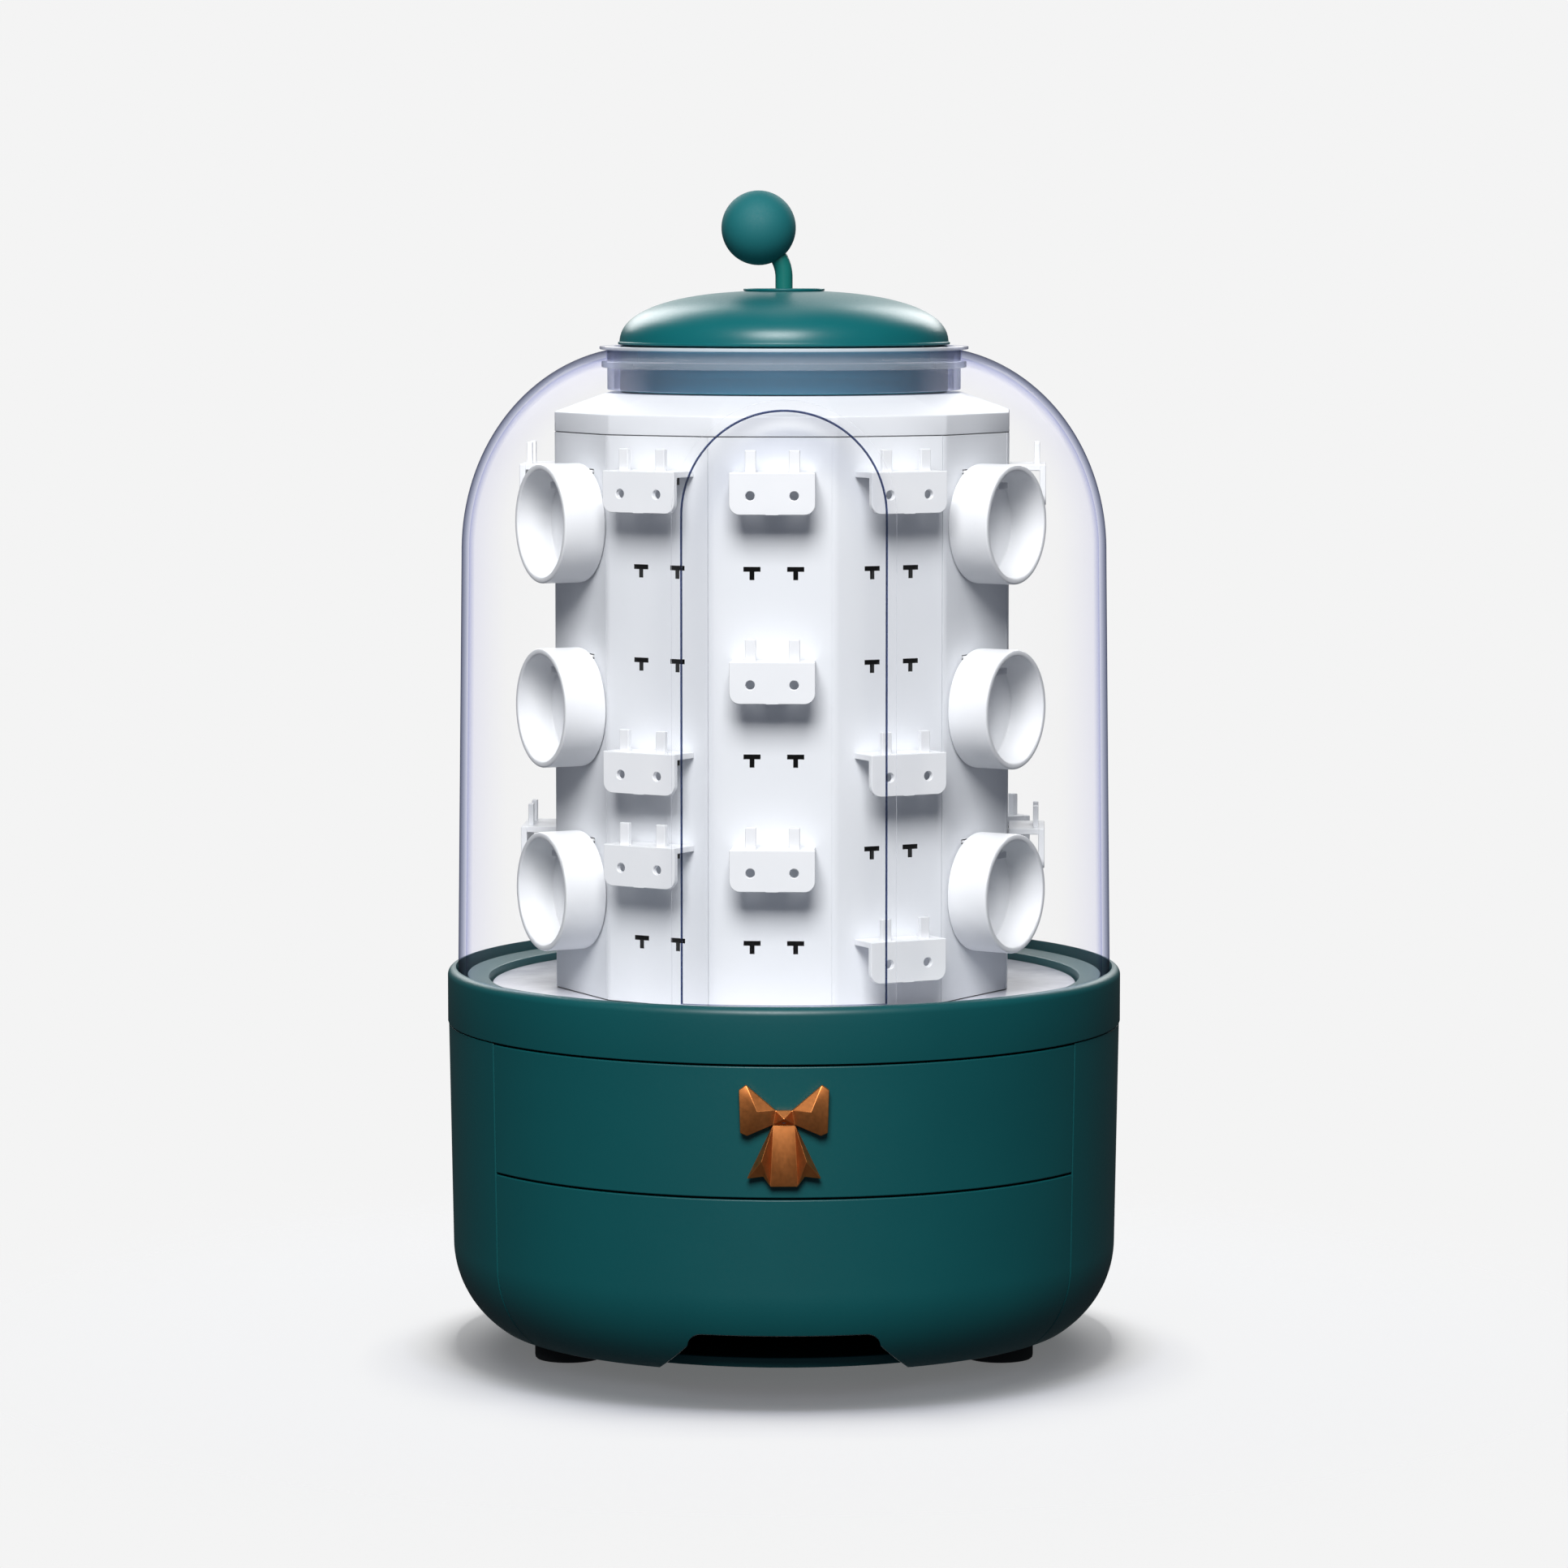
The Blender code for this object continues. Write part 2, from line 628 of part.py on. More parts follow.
def make_top_ring():
    outline = [(GROOVE_RADIUS, RING_TOP)]
    for step in range(CORNER_STEPS):
        angle = math.pi / 2 * step / (CORNER_STEPS - 1)
        radius = RING_RADIUS - RING_EDGE_RADIUS * (1 - math.sin(angle))
        height = RING_TOP - RING_EDGE_RADIUS * (1 - math.cos(angle))
        if step > 0:
            outline.append((radius, height))
    outline += [
        (RING_RADIUS, RING_BOTTOM),
        (RING_BORE_RADIUS, RING_BOTTOM),
        (RING_BORE_RADIUS, LIP_TOP - LIP_SLOPE),
        (GROOVE_INNER_RADIUS, LIP_TOP),
        (GROOVE_INNER_RADIUS, GROOVE_FLOOR),
        (GROOVE_RADIUS, GROOVE_FLOOR),
    ]
    as_part(turned("top_ring", outline, ring=True), BASE, "teal_plastic")


def dome_radius(height, inset=0):
    """The dome's radius at a height, some way in from its outer face."""
    if height <= DOME_SHOULDER_HEIGHT:
        share = (height - DOME_BOTTOM) / (DOME_SHOULDER_HEIGHT - DOME_BOTTOM)
        return DOME_RIM_RADIUS + share * (DOME_SHOULDER_RADIUS - DOME_RIM_RADIUS) - inset
    rise = (height - DOME_SHOULDER_HEIGHT) / (DOME_ROUND_HEIGHT - inset)
    return DOME_ROUND_CENTRE + (DOME_ROUND_WIDTH - inset) * math.sqrt(max(1 - rise**2, 0))


def dome_round(inset, last_radius):
    """Points up the dome's round shoulder, an elliptical quarter, to a radius near the neck."""
    centre = DOME_ROUND_CENTRE
    width = DOME_ROUND_WIDTH - inset
    last = math.acos((last_radius - centre) / width)
    turns = [last * step / DOME_ROUND_STEPS for step in range(DOME_ROUND_STEPS + 1)]
    height = DOME_ROUND_HEIGHT - inset
    return [(centre + width * math.cos(a), DOME_SHOULDER_HEIGHT + height * math.sin(a)) for a in turns]


def arch_prism(name, half_width, bottom):
    """A block behind an arched outline, which takes in the front of the dome only."""
    outline = [(-half_width, bottom), (half_width, bottom)]
    for step in range(ARCH_STEPS + 1):
        angle = math.pi * step / ARCH_STEPS
        outline.append((half_width * math.cos(angle), ARCH_SPRING_HEIGHT + half_width * math.sin(angle)))
    prism = plate(name, [outline], DOME_RIM_RADIUS, upright=True)
    prism.data.transform(Matrix.Translation((0, -DOME_RIM_RADIUS, 0)))
    return as_cutter(prism)


def make_dome():
    outer = [(dome_radius(DOME_BOTTOM), DOME_BOTTOM), *dome_round(0, NECK_RADIUS)]
    inner = [(dome_radius(DOME_BOTTOM, DOME_WALL), DOME_BOTTOM), *dome_round(DOME_WALL, NECK_RADIUS)]
    dome = turned("dome_shell", list(reversed(outer)) + inner, ring=True)
    add_boolean(dome, arch_prism("arch_cutter", ARCH_HALF_WIDTH, RING_TOP), "DIFFERENCE")
    as_part(dome, BASE, "clear_plastic")


def make_door():
    outer_inset = DOME_WALL + RUNNING_FIT
    inner_inset = outer_inset + DOOR_WALL
    bottom = LIP_TOP + FIT
    outer = [(dome_radius(bottom, outer_inset), bottom), *dome_round(outer_inset, NECK_RADIUS)]
    inner = [(dome_radius(bottom, inner_inset), bottom), *dome_round(inner_inset, NECK_RADIUS)]
    door = turned("door_panel", list(reversed(outer)) + inner, ring=True)
    guide = arch_prism("door_outline", ARCH_HALF_WIDTH + DOOR_LAP, bottom - OVERRUN)
    add_boolean(door, guide, "INTERSECT")
    as_part(door, DOOR, "clear_plastic")


def make_collar():
    """The clear collar clipped into the dome's neck: a flange above the edge, a bead below it."""
    outer = NECK_RADIUS - FIT
    bore = outer - COLLAR_WALL
    flange_bottom = dome_round(0, NECK_RADIUS)[-1][1] + FIT
    flange_top = flange_bottom + COLLAR_FLANGE_THICKNESS
    bead_top = dome_round(DOME_WALL, NECK_RADIUS)[-1][1] - COLLAR_GRIP_GAP
    bead_bottom = bead_top - COLLAR_BEAD_HEIGHT
    outline = [
        (bore, flange_top),
        (outer + COLLAR_FLANGE_REACH, flange_top),
        (outer + COLLAR_FLANGE_REACH, flange_bottom),
        (outer, flange_bottom),
        (outer, bead_top),
        (outer + COLLAR_BEAD_REACH, bead_top),
        (outer + COLLAR_BEAD_REACH, bead_bottom),
        (outer, bead_bottom),
        (outer, COLLAR_BOTTOM),
        (bore, COLLAR_BOTTOM),
    ]
    as_part(turned("neck_collar", outline, MEDIUM_STEPS, ring=True), BASE, "clear_plastic")
    return flange_top


def race_outline(back, face, groove_floor):
    """A bearing race's section: a flat back, and a face with a groove for the balls."""
    half = RACE_GROOVE_WIDTH / 2
    slope = abs(groove_floor - face)
    outline = [
        (RACE_INNER_RADIUS, face),
        (RACE_RADIUS - half - slope, face),
        (RACE_RADIUS - half, groove_floor),
        (RACE_RADIUS + half, groove_floor),
        (RACE_RADIUS + half + slope, face),
        (RACE_OUTER_RADIUS, face),
        (RACE_OUTER_RADIUS, back),
        (RACE_INNER_RADIUS, back),
    ]
    return outline if face > back else list(reversed(outline))


def make_bearing():
    lower_face = LOWER_RACE_BOTTOM + RACE_THICKNESS
    lower = race_outline(LOWER_RACE_BOTTOM, lower_face, lower_face - RACE_GROOVE_DEPTH)
    as_part(turned("bearing_lower_race", lower, BEARING_STEPS, ring=True), BASE, "steel")
    upper_face = UPPER_RACE_TOP - RACE_THICKNESS
    upper = race_outline(UPPER_RACE_TOP, upper_face, upper_face + RACE_GROOVE_DEPTH)
    as_part(turned("bearing_upper_race", upper, BEARING_STEPS, ring=True), CAROUSEL, "steel")
    angles = [360 * ball / BALL_COUNT for ball in range(BALL_COUNT)]
    places = round_places(RACE_RADIUS, angles, BALL_CENTRE)
    shape = bmesh.new()
    for place in places:
        seat = Matrix.Translation(place)
        bmesh.ops.create_icosphere(shape, subdivisions=1, radius=BALL_RADIUS, matrix=seat)
    mesh = bpy.data.meshes.new("bearing_balls")
    shape.to_mesh(mesh)
    shape.free()
    balls = bpy.data.objects.new("bearing_balls", mesh)
    low = BALL_CENTRE - CAGE_THICKNESS / 2
    outer = RACE_OUTER_RADIUS - CAGE_MARGIN
    bore = RACE_INNER_RADIUS + CAGE_MARGIN
    cage = disc("ball_cage", outer, low, low + CAGE_THICKNESS, BEARING_STEPS, bore)
    add_boolean(cage, as_cutter(balls), "UNION")
    as_part(cage, BEARING, "steel")


def make_pivot():
    post_top = DISC_TOP
    flange_bottom = BASE_TOP + FIT
    flange_top = flange_bottom + POST_FLANGE_THICKNESS
    hole_bottom = post_top - PIVOT_SCREW_LENGTH
    post = [
        (0, hole_bottom),
        (PIVOT_SCREW_RADIUS + FIT, hole_bottom),
        (PIVOT_SCREW_RADIUS + FIT, post_top),
        (POST_RADIUS, post_top),
        (POST_RADIUS, flange_top),
        (POST_FLANGE_RADIUS, flange_top),
        (POST_FLANGE_RADIUS, flange_bottom),
        (POST_SPIGOT_RADIUS, flange_bottom),
        (POST_SPIGOT_RADIUS, flange_bottom - POST_SPIGOT_LENGTH),
        (0, flange_bottom - POST_SPIGOT_LENGTH),
    ]
    as_part(turned("pivot_post", post, SMALL_STEPS), BASE, "steel")
    washer_bottom = post_top + FIT
    washer_top = washer_bottom + WASHER_THICKNESS
    washer = disc(
        "pivot_washer", WASHER_RADIUS, washer_bottom, washer_top, SMALL_STEPS, PIVOT_SCREW_RADIUS + FIT
    )
    as_part(washer, BASE, "steel")
    head_bottom = washer_top + FIT
    screw = [
        (0, head_bottom + PIVOT_HEAD_HEIGHT),
        (PIVOT_HEAD_RADIUS, head_bottom + PIVOT_HEAD_HEIGHT),
        (PIVOT_HEAD_RADIUS, head_bottom),
        (PIVOT_SCREW_RADIUS, head_bottom),
        (PIVOT_SCREW_RADIUS, hole_bottom + FIT),
        (0, hole_bottom + FIT),
    ]
    as_part(turned("pivot_screw", screw, SMALL_STEPS), BASE, "steel")


def make_turntable():
    turntable = disc("turntable_disc", DISC_RADIUS, DISC_BOTTOM, DISC_TOP, bore=POST_RADIUS + FIT)
    as_part(turntable, CAROUSEL, "disc_plastic")
    low = DISC_TOP + FIT
    inner = SOCKET_RADIUS - CAP_WALL
    ring = disc("column_base_ring", SOCKET_RADIUS, low, low + SOCKET_RING_HEIGHT, FACE_COUNT, inner)
    ring.rotation_euler.z = FACE_STEP / 2 + COLUMN_TURN
    as_part(ring, CAROUSEL, "grey_plastic")


def slot_outline(x, z):
    """A T-slot: a bar with a stem below it. Its place is the bar's centre."""
    top = z + SLOT_BAR_HEIGHT / 2
    under = z - SLOT_BAR_HEIGHT / 2
    half_bar = SLOT_BAR_WIDTH / 2
    half_stem = SLOT_STEM_WIDTH / 2
    bottom = top - SLOT_HEIGHT
    return [
        (x - half_bar, top),
        (x - half_bar, under),
        (x - half_stem, under),
        (x - half_stem, bottom),
        (x + half_stem, bottom),
        (x + half_stem, under),
        (x + half_bar, under),
        (x + half_bar, top),
    ]


def row_height(row):
    return SLOT_TOP_ROW - (row - 1) * SLOT_ROW_PITCH


def make_column_body():
    """The twelve-sided column, a tube with six rows of paired T-slots on each face."""
    wall_bore = INNER_FACE_DISTANCE / math.cos(FACE_STEP / 2)
    column = disc("column_body", COLUMN_RADIUS, PANEL_BOTTOM, PANEL_TOP, FACE_COUNT, wall_bore)
    column.rotation_euler.z = FACE_STEP / 2 + COLUMN_TURN
    slots = [
        slot_outline(side * SLOT_HALF_SPACING, row_height(row))
        for row in range(1, SLOT_ROWS + 1)
        for side in (-1, 1)
    ]
    cutter = plate("slot_cutter", slots, COLUMN_WALL + 2 * OVERRUN, upright=True)
    cutter.data.transform(Matrix.Translation((0, -FACE_DISTANCE + COLUMN_WALL / 2, 0)))
    cutter.rotation_euler.z = COLUMN_TURN
    step = bpy.data.objects.new("face_step", None)
    HELPERS.objects.link(step)
    step.rotation_euler.z = COLUMN_TURN + FACE_STEP
    array = cutter.modifiers.new("faces", "ARRAY")
    array.count = FACE_COUNT
    array.use_relative_offset = False
    array.use_object_offset = True
    array.offset_object = step
    add_boolean(column, as_cutter(cutter), "DIFFERENCE")
    as_part(column, CAROUSEL, "grey_plastic")


def make_column_cap():
    """The twelve-sided roof of the column, with the boss that the lid turns it by."""
    boss_top = CAP_TOP + DRIVE_BOSS_HEIGHT
    boss_bore = DRIVE_BOSS_RADIUS - CAP_WALL
    roof_edge = DRIVE_BOSS_RADIUS + CAP_FLAT_WIDTH
    socket_bottom = CAP_BOTTOM - SOCKET_RING_HEIGHT
    outline = [
        (0, CAP_TOP),
        (boss_bore, CAP_TOP),
        (boss_bore, boss_top),
        (DRIVE_BOSS_RADIUS, boss_top),
        (DRIVE_BOSS_RADIUS, CAP_TOP),
        (roof_edge, CAP_TOP),
        (COLUMN_RADIUS, CAP_SHOULDER),
        (COLUMN_RADIUS, CAP_BOTTOM),
        (SOCKET_RADIUS, CAP_BOTTOM),
        (SOCKET_RADIUS, socket_bottom),
        (SOCKET_RADIUS - CAP_WALL, socket_bottom),
        (SOCKET_RADIUS - CAP_WALL, CAP_SHOULDER - CAP_WALL),
        (roof_edge, CAP_TOP - CAP_WALL),
        (0, CAP_TOP - CAP_WALL),
    ]
    cap = turned("column_cap", outline, FACE_COUNT)
    cap.rotation_euler.z = FACE_STEP / 2 + COLUMN_TURN
    as_part(cap, CAROUSEL, "grey_plastic")


def tongues(height, start):
    """The two flat tongues at the back of a fitting, which reach through the T-slots."""
    end = -INNER_FACE_DISTANCE + TONGUE_HOLD
    pieces = []
    for side in (-1, 1):
        x = side * SLOT_HALF_SPACING
        low = (x - TONGUE_WIDTH / 2, start, height - TONGUE_HEIGHT / 2)
        high = (x + TONGUE_WIDTH / 2, end, height + TONGUE_HEIGHT / 2)
        pieces.append(block("tongue", low, high))
    return pieces


def hanger_mesh():
    """An earring hanger: a shelf with a drilled front plate, two prongs and two tongues."""
    top = HANGER_RISE
    bottom = top - HANGER_PLATE_HEIGHT
    half = HANGER_WIDTH / 2
    front = -FACE_DISTANCE - HANGER_REACH
    face = [(-half, top)]
    for side in (-1, 1):
        centre = side * (half - HANGER_CORNER_RADIUS)
        for step in range(2):
            angle = math.pi / 2 * (step if side < 0 else 1 - step)
            x = centre + side * HANGER_CORNER_RADIUS * math.cos(angle)
            z = bottom + HANGER_CORNER_RADIUS * (1 - math.sin(angle))
            face.append((x, z))
    face.append((half, top))
    holes = []
    for side in (-1, 1):
        x = side * SLOT_HALF_SPACING
        z = top - HANGER_HOLE_DROP
        hole = []
        for corner in range(HEXAGON_SIDES):
            angle = 2 * math.pi * (corner + side / 4) / HEXAGON_SIDES
            hole.append((x + HANGER_HOLE_RADIUS * math.cos(angle), z + HANGER_HOLE_RADIUS * math.sin(angle)))
        holes.append(hole)
    drilled = plate("hanger_face", [face, *holes], HANGER_WALL, upright=True)
    drilled.data.transform(Matrix.Translation((0, front + HANGER_WALL / 2, 0)))
    shelf_low = (-half + JOIN_LAP, front + HANGER_WALL / 2, top - HANGER_WALL)
    shelf = block("shelf", shelf_low, (half - JOIN_LAP, -FACE_DISTANCE - FIT, top - JOIN_LAP))
    others = [shelf]
    prong_back = front + HANGER_WALL + PRONG_THICKNESS - JOIN_LAP
    for side in (-1, 1):
        x = side * SLOT_HALF_SPACING
        low = (x - PRONG_WIDTH / 2, prong_back - PRONG_THICKNESS, top - HANGER_WALL / 2)
        others.append(block("prong", low, (x + PRONG_WIDTH / 2, prong_back, top + PRONG_HEIGHT)))
    others += tongues(0, -FACE_DISTANCE - HANGER_WALL)
    return joined("earring_hanger", drilled, others)


def dish_mesh():
    """A round dish that faces outwards, with a small peg inside its upper edge."""
    outline = [
        (0, DISH_WALL),
        (DISH_RADIUS - DISH_WALL, DISH_WALL),
        (DISH_RADIUS - DISH_WALL, DISH_DEPTH),
        (DISH_RADIUS, DISH_DEPTH),
        (DISH_RADIUS, 0),
        (0, 0),
    ]
    source = as_cutter(turned("dish_source", outline, DISH_STEPS))
    mesh = baked(source, "dish_bowl")
    bpy.data.objects.remove(source)
    back = -FACE_DISTANCE - FIT
    place = Matrix.Translation((0, back, -DISH_DROP)) @ Matrix.Rotation(math.radians(90), 4, "X")
    mesh.transform(place)
    bowl = bpy.data.objects.new("dish_bowl", mesh)
    peg_top = DISH_RADIUS - DISH_WALL - DISH_PEG_INSET - DISH_DROP
    peg_low = (-DISH_PEG_WIDTH / 2, back - DISH_WALL - DISH_PEG_LENGTH, peg_top - DISH_PEG_HEIGHT)
    peg = block("peg", peg_low, (DISH_PEG_WIDTH / 2, back - DISH_WALL / 2, peg_top))
    return joined("dish", bowl, [peg, *tongues(0, back - DISH_WALL / 2)])


def make_fittings():
    """Places the hangers and dishes on the faces and rows that hold them."""
    for label, mesh, places in (
        ("earring_hanger", hanger_mesh(), HANGER_PLACES),
        ("ring_dish", dish_mesh(), DISH_PLACES),
    ):
        number = 0
        for face, rows in places:
            for row in rows:
                number += 1
                fitting = bpy.data.objects.new(f"{label}_{number:02d}", mesh)
                fitting.location.z = row_height(row)
                fitting.rotation_euler.z = COLUMN_TURN + face * FACE_STEP
                as_part(fitting, CAROUSEL, "white_plastic")


def lid_curve(inset, last_radius, steps):
    """Points down the lid's swelling top, a flattened superellipse, from near the axis."""
    width = LID_RADIUS - inset
    rise = LID_HEIGHT - inset
    points = []
    for step in range(steps + 1):
        angle = math.pi / 2 * step / steps
        radius = width * math.sin(angle) ** (2 / LID_SWELL)
        height = rise * max(math.cos(angle), 0) ** (2 / LID_SWELL)
        points.append((max(radius, last_radius), height))
    return points


def make_lid(collar_top):
    low = collar_top + RUNNING_FIT
    hole = STEM_RADIUS + FIT
    outer = [(radius, low + height) for radius, height in lid_curve(0, hole, LID_OUTER_STEPS)]
    flange_top = low + LID_FLANGE_THICKNESS
    outer = [point for point in outer if point[1] > flange_top + FIT]
    under = lid_curve(LID_WALL, hole, LID_INNER_STEPS)
    inner = [(radius, low + height) for radius, height in reversed(under)]
    outline = [
        *outer,
        (LID_RADIUS, flange_top),
        (LID_FLANGE_RADIUS, flange_top),
        (LID_FLANGE_RADIUS, low),
        *inner,
    ]
    as_part(turned("lid_cap", outline, MEDIUM_STEPS, ring=True), LID, "teal_plastic")
    skirt_bottom = CAP_TOP + FIT
    skirt_bore = SKIRT_RADIUS - SKIRT_WALL
    skirt = disc("lid_skirt", SKIRT_RADIUS, skirt_bottom, low - FIT, MEDIUM_STEPS, skirt_bore)
    as_part(skirt, LID, "dark_plastic")
    hub_radius = HUB_BORE_RADIUS + HUB_WALL
    bound = (hub_radius / (LID_RADIUS - LID_WALL)) ** LID_SWELL
    hub_top = low + (LID_HEIGHT - LID_WALL) * (1 - bound) ** (1 / LID_SWELL) - RUNNING_FIT
    hub = disc("lid_hub", hub_radius, skirt_bottom, hub_top, FACE_COUNT, HUB_BORE_RADIUS)
    hub.rotation_euler.z = FACE_STEP / 2 + COLUMN_TURN
    as_part(hub, LID, "dark_plastic")
    return low + LID_HEIGHT


def stem_curve(name, radius, low, bend_start, reach):
    """The knob's stem: straight up, a bend towards -X, then straight on into the ball."""
    points = [(0, low), (0, bend_start)]
    for step in range(1, CORNER_STEPS + 1):
        angle = STEM_BEND_ANGLE * step / CORNER_STEPS
        x = -STEM_BEND_RADIUS * (1 - math.cos(angle))
        points.append((x, bend_start + STEM_BEND_RADIUS * math.sin(angle)))
    x, z = points[-1]
    points.append((x - reach * math.sin(STEM_BEND_ANGLE), z + reach * math.cos(STEM_BEND_ANGLE)))
    curve = bpy.data.curves.new(name, "CURVE")
    curve.dimensions = "3D"
    curve.bevel_depth = radius
    curve.bevel_resolution = 2
    curve.use_fill_caps = True
    spline = curve.splines.new("POLY")
    spline.points.add(len(points) - 1)
    for point, (px, pz) in zip(spline.points, points):
        point.co = (px, 0, pz, 1)
    source = bpy.data.objects.new(name + "_curve", curve)
    HELPERS.objects.link(source)
    mesh = baked(source, name)
    bpy.data.objects.remove(source)
    return bpy.data.objects.new(name, mesh)


def make_knob(lid_top):
    hole = STEM_RADIUS + FIT
    plate_bottom = lid_top + FIT
    plate_top = plate_bottom + KNOB_PLATE_THICKNESS
    knob_plate = disc("knob_plate", KNOB_PLATE_RADIUS, plate_bottom, plate_top, MEDIUM_STEPS, hole)
    as_part(knob_plate, LID, "teal_plastic")
    bend_start = plate_top + STEM_RISE
    low = plate_bottom - STEM_BELOW_PLATE
    stem = stem_curve("knob_stem", STEM_RADIUS, low, bend_start, STEM_IN_BALL)
    as_part(stem, LID, "teal_plastic")
    turn = STEM_BEND_ANGLE
    x = -STEM_BEND_RADIUS * (1 - math.cos(turn)) - BALL_KNOB_REACH * math.sin(turn)
    z = bend_start + STEM_BEND_RADIUS * math.sin(turn) + BALL_KNOB_REACH * math.cos(turn)
    shape = bmesh.new()
    rings = SMALL_STEPS // 2 + 2
    bmesh.ops.create_uvsphere(shape, u_segments=SMALL_STEPS, v_segments=rings, radius=BALL_KNOB_RADIUS)
    mesh = bpy.data.meshes.new("knob_ball")
    shape.to_mesh(mesh)
    shape.free()
    mesh.transform(Matrix.Translation((x, 0, z)))
    ball = bpy.data.objects.new("knob_ball", mesh)
    bore = stem_curve("stem_cutter", hole, plate_top, bend_start, STEM_IN_BALL + FIT)
    add_boolean(ball, as_cutter(bore), "DIFFERENCE")
    as_part(ball, LID, "teal_plastic")
    nut_top = lid_top - LID_WALL - FIT
    nut_bore = hole / math.cos(math.pi / HEXAGON_SIDES)
    nut = disc("knob_nut", NUT_RADIUS, nut_top - NUT_HEIGHT, nut_top, HEXAGON_SIDES, nut_bore)
    as_part(nut, LID, "steel")


def tray_outline(front_radius, inset):
    """The drawer tray seen from above: a straight back and sides, and a round front."""
    half = TRAY_HALF_WIDTH - inset
    back = TRAY_BACK - inset
    radius = front_radius - inset
    side = math.asin(half / radius)
    outline = [(half, back), (-half, back)]
    for step in range(SMALL_STEPS + 1):
        angle = side * (2 * step / SMALL_STEPS - 1)
        outline.append((radius * math.sin(angle), -radius * math.cos(angle)))
    return outline


def make_tray(name, front_radius, bottom, height, parent, holes):
    tray = plate(name, [tray_outline(front_radius, 0)], height)
    tray.data.transform(Matrix.Translation((0, 0, bottom + height / 2)))
    hollow = plate(name + "_hollow", [tray_outline(front_radius, TRAY_WALL)], height)
    hollow.data.transform(Matrix.Translation((0, 0, bottom + TRAY_WALL + height / 2)))
    add_boolean(tray, as_cutter(hollow), "DIFFERENCE")
    add_boolean(tray, holes, "DIFFERENCE")
    as_part(tray, parent, "dark_plastic")


def make_screw(name, place, length, parent):
    """A screw that runs towards -Y. Its place is the middle of its head's underside."""
    forward = Matrix.Rotation(math.radians(90), 4, "X")
    x, y, z = place
    shank_start = (x, y + SCREW_HEAD_HEIGHT / 2, z)
    shank_length = length + SCREW_HEAD_HEIGHT / 2
    shank = rods("shank", [shank_start], SCREW_RADIUS, shank_length, SCREW_SIDES, forward)
    head_start = (x, y + SCREW_HEAD_HEIGHT, z)
    head = rods("head", [head_start], SCREW_HEAD_RADIUS, SCREW_HEAD_HEIGHT, SCREW_SIDES, forward)
    screw = bpy.data.objects.new(name, joined(name, head, [shank]))
    as_part(screw, parent, "steel")


def make_upper_drawer():
    low = DRAWER_SEAM + FRONT_GAP
    high = BASE_TOP - FRONT_GAP
    inner_radius = base_radius(low, FRONT_WALL)
    outline = [
        *base_wall(high, low),
        (inner_radius, low),
        (base_radius(high, FRONT_WALL), high),
    ]
    front = turned("upper_drawer_front", outline, ring=True)
    guide = front_sector("upper_front_outline", 0, low - OVERRUN, high + OVERRUN, FRONT_GAP)
    add_boolean(front, guide, "INTERSECT")
    tray_radius = (inner_radius - FIT) * math.cos(math.pi / LARGE_STEPS)
    forward = Matrix.Rotation(math.radians(90), 4, "X")
    half = PULL_SCREW_SPACING / 2
    heights = (PULL_CENTRE_HEIGHT - half, PULL_CENTRE_HEIGHT + half)
    head_face = -tray_radius + TRAY_WALL + FIT
    pull_back = -(base_radius(PULL_CENTRE_HEIGHT + PULL_HEIGHT / 2) + FIT)
    length = head_face - pull_back + PULL_SCREW_DEPTH
    starts = [(0, head_face + OVERRUN, height) for height in heights]
    hole_length = length + OVERRUN + FIT
    holes = rods("pull_hole_cutter", starts, SCREW_RADIUS + FIT, hole_length, SCREW_SIDES, forward)
    as_cutter(holes)
    add_boolean(front, holes, "DIFFERENCE")
    as_part(front, UPPER_DRAWER, "teal_plastic")
    make_tray("upper_drawer_tray", tray_radius, UPPER_TRAY_BOTTOM, UPPER_TRAY_HEIGHT, UPPER_DRAWER, holes)
    for name, height in zip(("pull_screw_lower", "pull_screw_upper"), heights):
        make_screw(name, (0, head_face, height), length, UPPER_DRAWER)
    right = [(x * PULL_WIDTH / 2, z * PULL_HEIGHT / 2) for x, z in BOW_SHARES]
    left = [(-x, z) for x, z in reversed(right)]
    pull = plate("drawer_pull", [right + left], PULL_THICKNESS, upright=True)
    pull.data.transform(Matrix.Translation((0, pull_back - PULL_THICKNESS / 2, PULL_CENTRE_HEIGHT)))
    add_boolean(pull, holes, "DIFFERENCE")
    as_part(pull, UPPER_DRAWER, "copper_plate")


